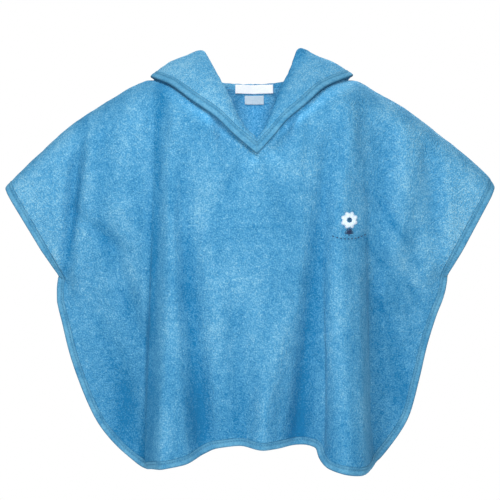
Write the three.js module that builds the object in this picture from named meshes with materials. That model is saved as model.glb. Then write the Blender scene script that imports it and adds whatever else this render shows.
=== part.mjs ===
import * as THREE from 'three';

// Hooded terry bath poncho for a toddler, filled out as when it is worn.
// Millimetres, X to the right, Z up, the front faces -Y.
// The origin is the middle of the neck at shoulder height.

// Thickness of the terry, half the gap at a seam, and the tape folded over the edges.
const WALL = 2.4;
const SEAM = 0.15;
const TAPE_WIDTH = 7.6;
const CORNER_WIDTH = 4.4;
const TAPE_GAP = 0.4;
const TAPE_WALL = 1.0;
const LABEL_GAP = 0.8;
const LABEL_WALL = 1.0;

// The middle of the V and of the nape.
const V_X = 5.4;
const BACK_X = 1.2;

// How many steps the grids take, and how wide a column of cloth may be.
const NECK_STEPS = 9;
const NAPE_STEPS = 12;
const TURN_ROWS = 6;
const BODY_ROWS = 10;
const HOOD_ROWS = 16;
const FRONT_COLUMN = 15;
const BACK_COLUMN = 20;
const CORNER_COLUMNS = 6;
const CURVE_STEPS = 160;

// How the cloth falls: the reach of a soft depth in lines, the fading of a fold past its
// ends and to its sides, and the bands near the top, the edge and the tack without folds.
const DEPTH_REACH = 0.9;
const FOLD_FADE = 45;
const FOLD_SPREAD = 1.7;
const TOP_BAND = [10, 50];
const THIN_BAND = [5, 35];
const TACK_RISE = 42;
const LINE_RISE = 22;
const LEAD_SHARE = 0.35;
const GENTLE_TURN = 1.4;
const UPRIGHT_DEPTH = 40;

const FINISHES = {
  terry: { color: 0x539ecb, roughness: 0.95, metalness: 0 },
  tape: { color: 0x65afd4, roughness: 0.8, metalness: 0 },
  whiteLabel: { color: 0xeeeeef, roughness: 0.55, metalness: 0 },
  greyLabel: { color: 0xced7df, roughness: 0.6, metalness: 0 },
};

function named(columns, rows) {
  const keys = columns.split(' ');
  return rows.map((row) => Object.fromEntries(keys.map((key, k) => [key, row[k + 1]])));
}

// One row for each cut line down the front, from the left sleeve edge to the right one.
// top and foot are the ends of the line, roll is the radius of the turn over the shoulder,
// bend is how far the line comes in square to the edge, and the six depths are how far
// front and back stand off the middle plane.
const LINES = named('topX topZ footX footZ roll bend chest waist hem backChest backWaist backHem backDrop', [
  ['sleeve edge', -281, -118.7, -220.8, -219.8, 20, 0, 17, 17, 3.5, 15, 15, 3.5, 0],
  ['sleeve tape', -274.6, -111.4, -221.4, -223, 22, 7, 19, 18, 3.6, 17, 16, 3.6, 0],
  ['sleeve', -242.9, -80.9, -222.7, -234.5, 26, 27, 27, 22, 4.2, 25, 21, 4.2, 0],
  ['sleeve fold', -208.3, -50, -222.7, -246.1, 32, 36, 30, 22, 5, 29, 22, 5, 0],
  ['sleeve root', -192.2, -38.6, -221.2, -255.2, 34, 42, 33, 23, 6, 32, 23, 6, 0],
  ['under arm', -176.1, -28.4, -217.1, -271.2, 38, 46, 36, 25, 8, 35, 24, 7, 0],
  ['side', -157.8, -17, -209.3, -304.7, 42, 56, 42, 28, 8.5, 40, 28, 9, 0],
  ['side', -140.6, -6.7, -196.7, -342.7, 46, 60, 45, 28, 10, 43, 31, 12, 0],
  ['side', -126.8, -0.1, -176.1, -387.6, 48, 56, 47, 30, 12, 46, 35, 16, 0],
  ['side', -117.7, 2.6, -147.2, -420.7, 50, 48, 50, 35, 15.5, 50, 42, 24, 2],
  ['flank foot', -108.5, 2.9, -121.8, -436.7, 50, 40, 55, 48, 34, 54, 52, 44, 6],
  ['flank', -101.7, 2.9, -114.2, -429.5, 50, 34, 60, 61, 78, 57, 60, 66, 4],
  ['left ridge', -90.3, 2.9, -97.8, -422.5, 50, 30, 67, 77, 106, 60, 68, 84, 2],
  ['left ridge', -77.7, 2.9, -74.9, -418.8, 52, 30, 70, 79, 102, 62, 73, 96, 2],
  ['left hollow', -64, 2.7, -54.6, -411.1, 55, 30, 69, 76, 82, 62, 75, 92, 0],
  ['left neck point', -51.4, 2.4, -38, -405.4, 58, 30, 70, 76, 73, 62, 74, 80, 0],
  ['V edge', -22.9, -32.9, -13.4, -402.7, 60, 30, 75, 81, 77, 62, 73, 78, 0],
  ['V point', 5.4, -71, 13.2, -405.5, 60, 30, 78, 84, 85, 62, 74, 90, 0],
  ['V edge', 33.2, -32.9, 37.9, -404.3, 60, 30, 74, 79, 73, 62, 74, 84, 0],
  ['right neck point', 56, 2.4, 60.6, -403.7, 58, 30, 68, 71, 63, 62, 74, 76, 0],
  ['right hollow', 69.7, 2.7, 72.1, -405.6, 55, 30, 66, 68, 74, 61, 75, 82, -4],
  ['ridge flank', 78.8, 2.9, 75.2, -413.5, 52, 30, 66, 73, 89, 61, 74, 90, -10],
  ['right ridge', 89.1, 2.9, 83.3, -421.7, 50, 30, 68, 79, 105, 60, 73, 97, -14],
  ['right ridge', 101.6, 2.9, 101.5, -426.2, 50, 30, 66, 80, 115, 58, 70, 98, -17],
  ['ridge flank', 111.9, 2.7, 120.9, -430.3, 50, 34, 60, 70, 104, 55, 62, 86, -13],
  ['flank', 119.9, 1.8, 133.6, -430.9, 50, 40, 52, 54, 64, 51, 52, 62, -6],
  ['flank foot', 127.9, -2.2, 142.9, -428.2, 48, 44, 48, 38, 30, 47, 43, 36, 0],
  ['side', 140.5, -10.1, 161, -409.8, 46, 50, 46, 31, 15, 45, 35, 20, 0],
  ['side', 155.4, -18.1, 179.6, -379.7, 43, 56, 45, 29, 11, 43, 31, 14, 0],
  ['side', 170.4, -26.7, 191, -338.1, 40, 58, 42, 27, 9.5, 40, 28, 10, 0],
  ['under arm', 184.1, -36.4, 200, -298.9, 37, 52, 38, 26, 8.5, 37, 26, 8, 0],
  ['under arm', 196.8, -45.5, 211.4, -262.1, 34, 44, 33, 23, 7, 33, 23, 7, 0],
  ['sleeve', 212.9, -58.6, 217.8, -246.1, 31, 34, 28, 20, 5.5, 29, 21, 5.5, 0],
  ['sleeve', 238.3, -78, 221.2, -234, 27, 27, 26, 21, 4.4, 25, 20, 4.4, 0],
  ['sleeve tape', 270.6, -107.8, 222.9, -222.4, 22, 7, 19, 18, 3.6, 17, 16, 3.6, 0],
  ['sleeve edge', 276.4, -117.6, 223.1, -219.2, 20, 0, 17, 17, 3.5, 15, 15, 3.5, 0],
]);
const LEFT_NECK = 15;
const V_LINE = 17;
const RIGHT_NECK = 19;
const LAST_LINE = LINES.length - 1;
const SHOULDER = 5;
const NAPE = 8;

// The neck seam from the point of the V past the shoulder to the middle of the nape.
const NECKLINE = named('leftX rightX y z', [
  ['V point', 5.4, 5.4, -73, -71],
  ['low V', -9, 18.5, -69.5, -53],
  ['mid V', -23.4, 28.5, -61, -34],
  ['high V', -37, 40, -42, -15],
  ['by the shoulder', -48.4, 52, -15, 0.6],
  ['neck point', -51.4, 56, 0, 2.4],
  ['behind the shoulder', -47, 51, 20, 0.4],
  ['side of the nape', -29, 33, 36, -3.4],
  ['nape', 1.2, 1.2, 43, -4.6],
]);

// The hood lies turned back.  A row for each station along the neck seam, and four places
// across it after the seam: the roll, the lie, the fold and the face edge.
const HOOD_KEYS = 'rollX rollY rollZ lieX lieY lieZ foldX foldY foldZ faceX faceY faceZ tape';
const HOOD_LEFT = named(HOOD_KEYS, [
  ['V point', 5.4, -77, -62.6, 5.4, -80.6, -64.4, 5.4, -82, -70, 5.4, -82.4, -76.6, 11],
  ['low V', -12, -74.5, -44.8, -14.6, -79, -46.4, -17, -80.8, -50.2, -19.4, -81.4, -55.4, 7.8],
  ['mid V', -25, -63, -17.4, -29.5, -70, -20.6, -34.4, -75, -28, -39.4, -78, -36.6, 8.4],
  ['high V', -37.4, -42, 5.4, -46.5, -52, 1, -56.5, -61, -9, -66, -66.5, -18.4, 8.6],
  ['by the shoulder', -49.4, -17, 26.6, -62, -26, 22.4, -77, -36, 10, -92.5, -41, 0.2, 8.6],
  ['shoulder', -56, 6, 36.6, -76, 4, 31, -95, 0, 23, -114, -4, 8.4, 8.6],
  ['behind the shoulder', -57, 33, 24, -79, 46, 10, -99, 60, -20, -112, 46, 7, 8.6],
  ['side of the nape', -37, 43, 2, -54, 68, -36, -68, 90, -104, -76, 102, -20, 8.6],
  ['nape', 1.2, 47, -0.4, 1.2, 71, -50, 1.2, 96, -172, 1.2, 112, -42, 8.6],
]);
const HOOD_RIGHT = named(HOOD_KEYS, [
  ['V point', 5.4, -77, -62.6, 5.4, -80.6, -64.4, 5.4, -82, -70, 5.4, -82.4, -76.6, 11],
  ['low V', 14.6, -74.5, -50.4, 17, -78.6, -51.2, 19.4, -80.4, -53.8, 22.4, -81, -58, 7.8],
  ['mid V', 24, -63, -28, 28.4, -69.6, -29.6, 32.4, -74, -34.4, 36.6, -77, -41.2, 8],
  ['high V', 32.8, -42, -6, 40, -51, -8, 49.4, -60, -14.4, 59, -65.5, -22.4, 8.4],
  ['by the shoulder', 42.6, -17, 13, 54, -26, 12, 67.6, -36, 6, 82, -43, -3, 8.6],
  ['shoulder', 54, 4, 39.6, 73, 4, 31.6, 95, 0, 22.4, 113.6, -3, 10, 8.6],
  ['behind the shoulder', 58, 31, 26, 79, 45, 12, 98, 60, -18, 111, 46, 8, 8.6],
  ['side of the nape', 40, 43, 3, 56, 68, -34, 69, 90, -100, 77, 102, -18, 8.6],
  ['nape', 1.2, 47, -0.4, 1.2, 71, -50, 1.2, 96, -172, 1.2, 112, -42, 8.6],
]);

// The large folds.  Each runs from one end to the other, left and right are its two
// half widths, and rise is its height at the ends, a hollow when it is below nought.
const FOLD_KEYS = 'x1 z1 x2 z2 left right rise1 rise2';
const FRONT_FOLDS = named(FOLD_KEYS, [
  ['left sleeve hollow', -193, -40, -212, -206, 8, 8, -6, -9],
  ['left sleeve root ridge', -178, -60, -192, -214, 9, 9, 4, 5],
  ['left tack crease', -217, -217, -200, -195, 5, 5, -2.5, -2],
  ['left shoulder hollow', -99, -14, -115, -425, 10, 11, -7, -9],
  ['left ridge', -93, -74, -96, -397, 11, 12, 4, 6],
  ['left hollow', -80, -96, -58, -386, 11, 13, -5, -9],
  ['left inner ridge', -44, -107, -35, -352, 13, 13, 3, 3],
  ['centre hollow', -17, -262, -8, -396, 15, 15, -4, -5],
  ['centre slant', 32, -279, 8, -392, 11, 11, 4, 5],
  ['right hollow', 86, -74, 48, -398, 11, 13, -6, -9],
  ['right ridge', 97, -129, 102, -421, 11, 11, 4, 4],
  ['right ridge foot', 135, -232, 139, -408, 11, 11, -6, -6],
  ['right under-arm crease', 150, -273, 175, -345, 8, 9, -4, -4],
  ['right arm hollow', 149, -63, 144, -201, 16, 16, -6, -5],
  ['right shoulder ridge', 106, -16, 109, -63, 9, 9, 3, 3],
  ['pucker', 121, -111, 171, -160, 8, 8, -2.5, -2.5],
  ['pucker', 135, -187, 188, -242, 8, 8, -2.5, -3],
  ['pucker', 164, -245, 196, -280, 7, 7, -2, -2],
  ['right sleeve hollow', 199, -75, 214, -209, 10, 10, -4, -4],
  ['right sleeve ridge', 222, -86, 225, -189, 9, 9, 3, 2],
  ['left flank hollow', -158, -182, -129, -278, 12, 12, -4, -4],
  ['left flank hollow', -173, -273, -141, -365, 12, 12, -4, -4],
  ['left corner hollow', -144, -352, -151, -392, 10, 10, -3, -3],
  ['pucker', -199, -147, -159, -177, 8, 8, -2.5, -2.5],
  ['neck crease', -13, -92, -42, -143, 8, 8, -2, -2],
  ['neck crease', 13, -92, 40, -145, 8, 8, -2, -2],
  ['left arm ridge', -139, -33, -144, -136, 16, 16, 4, 3],
  ['right arm ridge', 178, -62, 167, -176, 14, 14, 4, 3],
]);
const BACK_FOLDS = named(FOLD_KEYS, [
  ['left sleeve hollow', -196, -58, -212, -200, 9, 9, -4, -4],
  ['left sleeve ridge', -180, -60, -198, -196, 9, 9, 3, 3],
  ['left shoulder hollow', -112, -60, -122, -404, 12, 12, -5, -8],
  ['left ridge', -88, -120, -86, -408, 13, 13, 3, 5],
  ['left hollow', -62, -190, -52, -410, 12, 12, -4, -7],
  ['left middle ridge', -28, -210, -24, -400, 14, 14, 3, 4],
  ['middle hollow', 4, -200, 12, -408, 13, 13, -4, -7],
  ['right middle ridge', 40, -210, 46, -400, 13, 13, 3, 5],
  ['right hollow', 64, -190, 70, -410, 12, 12, -4, -6],
  ['right ridge', 92, -120, 98, -430, 13, 13, 3, 5],
  ['right shoulder hollow', 118, -60, 132, -410, 12, 12, -5, -7],
  ['right arm hollow', 152, -70, 156, -250, 14, 14, -5, -4],
  ['left arm hollow', -150, -70, -160, -250, 14, 14, -5, -4],
  ['right sleeve hollow', 204, -74, 214, -205, 10, 10, -4, -4],
  ['pucker', -196, -150, -150, -186, 8, 8, -2.5, -2.5],
  ['pucker', 198, -150, 152, -190, 8, 8, -2.5, -2.5],
  ['left corner hollow', -150, -330, -158, -390, 10, 10, -3, -3],
  ['right corner hollow', 154, -320, 160, -384, 10, 10, -3, -3],
]);

// Smooth reading between the rows of a table, without overshoot.  With a level end the
// reading runs out flat at the last row, so that two halves meet there without a crease.
function read(rows, key, at, levelEnd = false) {
  const last = rows.length - 1;
  const k = Math.min(Math.floor(at), last - 1);
  const t = at - k;
  const step = (i) => rows[i + 1][key] - rows[i][key];
  const slope = (i) => {
    if (i === 0) return step(0);
    if (i === last) return levelEnd ? 0 : step(last - 1);
    const a = step(i - 1);
    const b = step(i);
    return a * b <= 0 ? 0 : (2 * a * b) / (a + b);
  };
  const t2 = t * t;
  const t3 = t2 * t;
  return (2 * t3 - 3 * t2 + 1) * rows[k][key] + (t3 - 2 * t2 + t) * slope(k)
    + (3 * t2 - 2 * t3) * rows[k + 1][key] + (t3 - t2) * slope(k + 1);
}

function foldRise(folds, x, z) {
  let total = 0;
  for (const fold of folds) {
    const dx = fold.x2 - fold.x1;
    const dz = fold.z2 - fold.z1;
    const length = Math.hypot(dx, dz);
    const along = ((x - fold.x1) * dx + (z - fold.z1) * dz) / (length * length);
    const across = ((x - fold.x1) * dz - (z - fold.z1) * dx) / length;
    const beyond = Math.max(0, -along, along - 1) * length;
    const taper = Math.max(0, 1 - beyond / FOLD_FADE);
    const side = across < 0 ? fold.right : fold.left;
    const reach = Math.abs(across) / (FOLD_SPREAD * side);
    if (reach >= 1 || taper <= 0) continue;
    const part = Math.min(1, Math.max(0, along));
    const rise = fold.rise1 + (fold.rise2 - fold.rise1) * part;
    const bell = 0.5 + 0.5 * Math.cos(Math.PI * reach);
    total += rise * bell * taper * taper * (3 - 2 * taper);
  }
  return total;
}

function neckPoint(side, station) {
  const key = side < 0 ? 'leftX' : 'rightX';
  return [read(NECKLINE, key, station), read(NECKLINE, 'y', station), read(NECKLINE, 'z', station)];
}

// How far the cloth stands off the middle plane, down a line of the given length.
// The waist lies a third of the way up, or nearer the foot where lines crowd at the tack.
function standOff([chest, waist, hem], down, length, fromEnd) {
  const rows = [{ d: chest }, { d: chest }, { d: waist }, { d: hem }];
  const high = length / 3;
  const low = length - Math.min(high, TACK_RISE + LINE_RISE * Math.max(0, fromEnd - 3));
  if (down < high) return read(rows, 'd', down / high);
  if (down < low) return read(rows, 'd', 1 + (down - high) / (low - high));
  return read(rows, 'd', 2 + Math.min(1, (down - low) / (length - low)));
}

// The foot of a line on the outline, the way in from it, and how far in the last row lies.
function footOf(at, front) {
  const point = (t) => new THREE.Vector2(
    read(LINES, 'footX', t),
    read(LINES, 'footZ', t) + (front ? 0 : read(LINES, 'backDrop', t)),
  );
  const foot = point(at);
  const along = point(Math.min(LAST_LINE, at + 0.3)).sub(point(Math.max(0, at - 0.3)));
  const inward = new THREE.Vector2(-along.y, along.x).normalize();
  const fromEnd = Math.min(at, LAST_LINE - at);
  if (fromEnd < 1) {
    const end = LINES[at < 1 ? 0 : LAST_LINE];
    const up = new THREE.Vector2(end.topX - end.footX, end.topZ - end.footZ).normalize();
    inward.lerp(up, 1 - fromEnd).normalize();
  }
  const corner = Math.max(0, 1 - fromEnd);
  return [foot, inward, TAPE_WIDTH + (CORNER_WIDTH - TAPE_WIDTH) * corner];
}

// How far down a line each row of the turn over the shoulder lies.
function turnDown(roll, row) {
  return roll * (1 - Math.cos((row * Math.PI) / (2 * TURN_ROWS)));
}

// From nought before a band to one past it.
function ramp(value, [from, to]) {
  return Math.min(1, Math.max(0, (value - from) / (to - from)));
}

// A depth read from a few neighbouring lines at once, because thick terry doesn't turn
// sharply above the hem.
function softDepth(key, at) {
  const reach = DEPTH_REACH * Math.min(1, at / 4, (LAST_LINE - at) / 4);
  return (read(LINES, key, at - reach) + 2 * read(LINES, key, at) + read(LINES, key, at + reach)) / 4;
}

function linePoints(at, face) {
  const front = face < 0;
  const value = (key) => read(LINES, key, at);
  const inNeck = at > LEFT_NECK - 1e-6 && at < RIGHT_NECK + 1e-6;
  let top = [value('topX'), 0, value('topZ')];
  if (inNeck) {
    const share = Math.abs(at - V_LINE) / (V_LINE - LEFT_NECK);
    const station = front ? SHOULDER * share : NAPE - (NAPE - SHOULDER) * share;
    top = neckPoint(at < V_LINE ? -1 : 1, station);
  }
  const depths = front
    ? [softDepth('chest', at), softDepth('waist', at), value('hem')]
    : [softDepth('backChest', at), softDepth('backWaist', at), value('backHem')];
  const [foot, inward, width] = footOf(at, front);
  const head = new THREE.Vector2(top[0], top[2]);
  const seat = foot.clone().addScaledVector(inward, width);
  const lead = head.clone().lerp(seat, LEAD_SHARE);
  const arrive = seat.clone().addScaledVector(inward, value('bend'));
  const path = new THREE.CubicBezierCurve(head, lead, arrive, seat);
  const length = path.getLength();
  const roll = value('roll');
  const downs = [];
  for (let k = 0; k <= TURN_ROWS; k += 1) downs.push(turnDown(roll, k));
  for (let k = 1; k <= BODY_ROWS; k += 1) downs.push(roll + ((length - roll) * k) / BODY_ROWS);
  downs.push(length + width);
  return downs.map((down, k) => {
    const last = k === downs.length - 1;
    const place = last ? foot : path.getPointAt(Math.min(1, down / length));
    const main = standOff(depths, down, length + width, Math.min(at, LAST_LINE - at));
    const turn = Math.min(1, down / roll);
    const start = Math.abs(top[1]);
    const upright = Math.min(1, start / UPRIGHT_DEPTH) ** 2;
    const round = Math.sqrt(Math.max(0, 1 - (1 - turn) ** 2));
    const gentle = Math.sin((Math.PI / 2) * Math.min(1, down / (GENTLE_TURN * roll)));
    let depth = start + (main - start) * (round + (gentle - round) * upright);
    const fromSleeve = ramp(Math.min(at, LAST_LINE - at), [0.5, 1.5]);
    const folds = front ? FRONT_FOLDS : BACK_FOLDS;
    depth += foldRise(folds, place.x, place.y) * ramp(down, TOP_BAND) * ramp(depth, THIN_BAND) * fromSleeve;
    return [place.x, face * depth, place.y];
  });
}

function positions(face) {
  const list = [];
  const size = face < 0 ? FRONT_COLUMN : BACK_COLUMN;
  for (let k = 0; k < LAST_LINE; k += 1) {
    if (k === LEFT_NECK || k === V_LINE) {
      const steps = face < 0 ? NECK_STEPS : NAPE_STEPS;
      for (let n = 0; n < steps; n += 1) list.push(k + ((V_LINE - LEFT_NECK) * n) / steps);
    }
    if (k >= LEFT_NECK && k < RIGHT_NECK) continue;
    const gap = Math.max(
      Math.hypot(LINES[k + 1].footX - LINES[k].footX, LINES[k + 1].footZ - LINES[k].footZ),
      Math.hypot(LINES[k + 1].topX - LINES[k].topX, LINES[k + 1].topZ - LINES[k].topZ) * 0.7,
    );
    const steps = k === 0 || k === LAST_LINE - 1 ? 1 : Math.max(1, Math.round(gap / size));
    for (let n = 0; n < steps; n += 1) list.push(k + n / steps);
  }
  list.push(LAST_LINE);
  return list;
}

const vec = (p) => new THREE.Vector3(p[0], p[1], p[2]);

function hoodPoints(side, station) {
  const rows = side < 0 ? HOOD_LEFT : HOOD_RIGHT;
  const seam = vec(neckPoint(side, station));
  const value = (key) => read(rows, key, station, !key.endsWith('X'));
  const places = ['roll', 'lie', 'fold', 'face'];
  const guide = [seam, ...places.map((p) => new THREE.Vector3(value(`${p}X`), value(`${p}Y`), value(`${p}Z`)))];
  const curve = new THREE.CatmullRomCurve3(guide, false, 'centripetal');
  const dense = curve.getPoints(CURVE_STEPS);
  const run = [0];
  for (let k = 1; k < dense.length; k += 1) run.push(run[k - 1] + dense[k].distanceTo(dense[k - 1]));
  const total = run[run.length - 1];
  const tape = Math.min(value('tape'), total * 0.6);
  const downs = [];
  for (let k = 0; k < HOOD_ROWS; k += 1) downs.push(((total - tape) * k) / (HOOD_ROWS - 1));
  downs.push(total);
  return downs.map((down) => {
    let k = 1;
    while (k < run.length - 1 && run[k] < down) k += 1;
    const part = (down - run[k - 1]) / (run[k] - run[k - 1]);
    return dense[k - 1].clone().lerp(dense[k], Math.min(1, part));
  });
}

function cellCorners(i, j, cross) {
  const corners = [[i, j], [i + 1, j], [i + 1, j + 1], [i, j + 1]];
  return cross ? [[0, 1, 3], [1, 2, 3]].map((t) => t.map((k) => corners[k]))
    : [[0, 1, 2], [0, 2, 3]].map((t) => t.map((k) => corners[k]));
}

function gridNormals(grid, crossCorner) {
  const normals = grid.map((column) => column.map(() => new THREE.Vector3()));
  const m = grid.length - 1;
  const n = grid[0].length - 1;
  for (let i = 0; i < m; i += 1) {
    for (let j = 0; j < n; j += 1) {
      for (const tri of cellCorners(i, j, crossCorner && i < CORNER_COLUMNS && i + j === n - 1)) {
        const [a, b, c] = tri.map(([u, v]) => grid[u][v]);
        const face = b.clone().sub(a).cross(c.clone().sub(a));
        face.divideScalar(Math.sqrt(face.length()) + 1e-9);
        for (const [u, v] of tri) normals[u][v].add(face);
      }
    }
  }
  for (const column of normals) for (const normal of column) normal.normalize();
  return normals;
}

class Mesh {
  constructor() {
    this.points = [];
    this.index = new Map();
    this.faces = [];
  }

  at(p) {
    const key = `${p.x.toFixed(4)},${p.y.toFixed(4)},${p.z.toFixed(4)}`;
    if (!this.index.has(key)) {
      this.index.set(key, this.points.length);
      this.points.push(p.clone());
    }
    return this.index.get(key);
  }

  tri(a, b, c) {
    const ia = this.at(a);
    const ib = this.at(b);
    const ic = this.at(c);
    if (ia !== ib && ib !== ic && ia !== ic) this.faces.push([ia, ib, ic]);
  }

  quad(a, b, c, d) {
    this.tri(a, b, c);
    this.tri(a, c, d);
  }

  node(name, finish) {
    let volume = 0;
    for (const [a, b, c] of this.faces) {
      volume += this.points[a].dot(this.points[b].clone().cross(this.points[c])) / 6;
    }
    const geometry = new THREE.BufferGeometry();
    const flat = this.points.flatMap((p) => [p.x, p.y, p.z]);
    geometry.setAttribute('position', new THREE.Float32BufferAttribute(flat, 3));
    geometry.setIndex(this.faces.flatMap(([a, b, c]) => (volume < 0 ? [a, c, b] : [a, b, c])));
    const mesh = new THREE.Mesh(geometry, new THREE.MeshStandardMaterial(FINISHES[finish]));
    mesh.name = name;
    return mesh;
  }
}

// seamSide tells which face of each seam column lies towards the shared seam normal, and
// whether the column or its neighbour comes first along the seam, so that both pieces of
// a seam split their end faces alike.
function shell(name, finish, grid, normals, half, crossCorner = false, seamSide = new Map()) {
  const mesh = new Mesh();
  const out = grid.map((column, i) => column.map((p, j) => p.clone().addScaledVector(normals[i][j], half)));
  const inn = grid.map((column, i) => column.map((p, j) => p.clone().addScaledVector(normals[i][j], -half)));
  const m = grid.length - 1;
  const n = grid[0].length - 1;
  const cell = (side, i, j, flip) => {
    for (const tri of cellCorners(i, j, crossCorner && i < CORNER_COLUMNS && i + j === n - 1)) {
      const [p, q, r] = tri.map(([u, v]) => side[u][v]);
      if (flip) mesh.tri(p, r, q);
      else mesh.tri(p, q, r);
    }
  };
  for (let i = 0; i < m; i += 1) {
    for (let j = 0; j < n; j += 1) {
      cell(out, i, j, false);
      cell(inn, i, j, true);
    }
    const [here, next] = [seamSide.get(i), seamSide.get(i + 1)];
    const turned = here && next && (here.sign > 0) === (here.order < next.order);
    const end = [out[i + 1][0], out[i][0], inn[i][0], inn[i + 1][0]];
    if (turned) mesh.quad(end[1], end[2], end[3], end[0]);
    else mesh.quad(...end);
    mesh.quad(out[i][n], out[i + 1][n], inn[i + 1][n], inn[i][n]);
  }
  for (let j = 0; j < n; j += 1) {
    mesh.quad(out[0][j], out[0][j + 1], inn[0][j + 1], inn[0][j]);
    mesh.quad(out[m][j + 1], out[m][j], inn[m][j], inn[m][j + 1]);
  }
  return mesh.node(name, finish);
}

// A folded tape over an edge: each station has the edge point, the point a tape's width
// inside it, their two normals, and which way the cloth's own triangles run to the next.
function tape(name, stations) {
  const mesh = new Mesh();
  const near = WALL / 2 + TAPE_GAP;
  const far = near + TAPE_WALL;
  const rings = stations.map((s) => {
    const e = s.way;
    const at = (p, n, up, off) => p.clone().addScaledVector(n, up).addScaledVector(e, off);
    return {
      innerFirst: s.innerFirst,
      ring: [
        s.inner.clone().addScaledVector(s.innerNormal, far),
        at(s.edge, s.edgeNormal, far, TAPE_GAP + TAPE_WALL),
        at(s.edge, s.edgeNormal, -far, TAPE_GAP + TAPE_WALL),
        s.inner.clone().addScaledVector(s.innerNormal, -far),
        s.inner.clone().addScaledVector(s.innerNormal, -near),
        at(s.edge, s.edgeNormal, -near, TAPE_GAP),
        at(s.edge, s.edgeNormal, near, TAPE_GAP),
        s.inner.clone().addScaledVector(s.innerNormal, near),
      ],
    };
  });
  const innerPlaces = new Set([0, 3, 4, 7]);
  for (let k = 0; k < rings.length - 1; k += 1) {
    const a = rings[k].ring;
    const b = rings[k + 1].ring;
    for (let q = 0; q < 8; q += 1) {
      const r = (q + 1) % 8;
      const fromHere = innerPlaces.has(q) === rings[k].innerFirst;
      if (fromHere) {
        mesh.tri(a[q], b[q], b[r]);
        mesh.tri(a[q], b[r], a[r]);
      } else {
        mesh.tri(a[q], b[q], a[r]);
        mesh.tri(a[r], b[q], b[r]);
      }
    }
  }
  const cap = (g, flip) => {
    const add = (p, q, r) => (flip ? mesh.tri(p, r, q) : mesh.tri(p, q, r));
    for (const [p, q, r, s] of [[0, 1, 6, 7], [1, 2, 5, 6], [2, 3, 4, 5]]) {
      add(g[p], g[q], g[r]);
      add(g[p], g[r], g[s]);
    }
  };
  cap(rings[0].ring, false);
  cap(rings[rings.length - 1].ring, true);
  return mesh.node(name, 'tape');
}

// The tape leaves the edge square to it, and its ends stay in the plane of their seam.
function squareOff(list, endAxis) {
  list.forEach((station, k) => {
    const before = list[Math.max(0, k - 1)].edge;
    const after = list[Math.min(list.length - 1, k + 1)].edge;
    const along = after.clone().sub(before).normalize();
    const way = station.edge.clone().sub(station.inner);
    way.addScaledVector(along, -way.dot(along));
    if (k === 0 || k === list.length - 1) way.setComponent(endAxis, 0);
    station.way = way.normalize();
  });
  return list;
}

function edgeStations(grid, normals) {
  const m = grid.length - 1;
  const n = grid[0].length - 1;
  const list = [];
  const add = (ei, ej, ii, ij, innerFirst) => list.push({
    edge: grid[ei][ej],
    inner: grid[ii][ij],
    edgeNormal: normals[ei][ej],
    innerNormal: normals[ii][ij],
    innerFirst,
  });
  for (let j = 0; j < n; j += 1) add(0, j, 1, j, false);
  add(0, n, 1, n - 1, true);
  for (let i = 1; i < m; i += 1) add(i, n, i, n - 1, true);
  add(m, n, m - 1, n - 1, false);
  for (let j = n - 1; j >= 0; j -= 1) add(m, j, m - 1, j, false);
  return squareOff(list, 1);
}

function flatWay(v, axis) {
  v.setComponent(axis, 0);
  return v.normalize();
}

// The grids of the two body panels and the two hood halves share their seam rows.
const grids = {};
for (const face of [-1, 1]) {
  grids[face] = positions(face).map((at) => linePoints(at, face).map(vec));
}
const stations = [];
for (let k = 0; k <= NECK_STEPS; k += 1) stations.push((SHOULDER * k) / NECK_STEPS);
for (let k = 1; k <= NAPE_STEPS; k += 1) stations.push(SHOULDER + ((NAPE - SHOULDER) * k) / NAPE_STEPS);
const hoods = {};
for (const side of [-1, 1]) hoods[side] = stations.map((s) => hoodPoints(side, s));

const normals = { front: gridNormals(grids[-1], true), back: gridNormals(grids[1], true) };
const hoodNormals = { '-1': gridNormals(hoods[-1], false), 1: gridNormals(hoods[1], false) };

const neckColumn = (face, side, k) => {
  const list = positions(face);
  const middle = list.findIndex((at) => Math.abs(at - V_LINE) < 1e-6);
  return middle + side * k;
};

// Shoulder seams: the end faces lie in the middle plane.
for (const face of [-1, 1]) {
  const grid = grids[face];
  const own = face < 0 ? normals.front : normals.back;
  const steps = face < 0 ? NECK_STEPS : NAPE_STEPS;
  const leftEnd = neckColumn(face, -1, steps);
  const rightEnd = neckColumn(face, 1, steps);
  const fixed = own.map((row) => row[0].clone());
  for (let i = 0; i < grid.length; i += 1) {
    if (i > leftEnd && i < rightEnd) continue;
    const a = grid[Math.max(0, i === rightEnd ? i : i - 1)][0];
    const b = grid[Math.min(grid.length - 1, i === leftEnd ? i : i + 1)][0];
    const along = b.clone().sub(a);
    fixed[i] = new THREE.Vector3(-along.z, 0, along.x).normalize().multiplyScalar(face);
  }
  for (let i = 0; i < grid.length; i += 1) {
    own[i][0] = fixed[i];
    if (i <= leftEnd || i >= rightEnd) grid[i][0].y = face * SEAM;
  }
  for (const i of [0, grid.length - 1]) {
    const inner = i === 0 ? 1 : i - 1;
    own[inner][0] = flatWay(own[inner][0].clone(), 1);
  }
}

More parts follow.
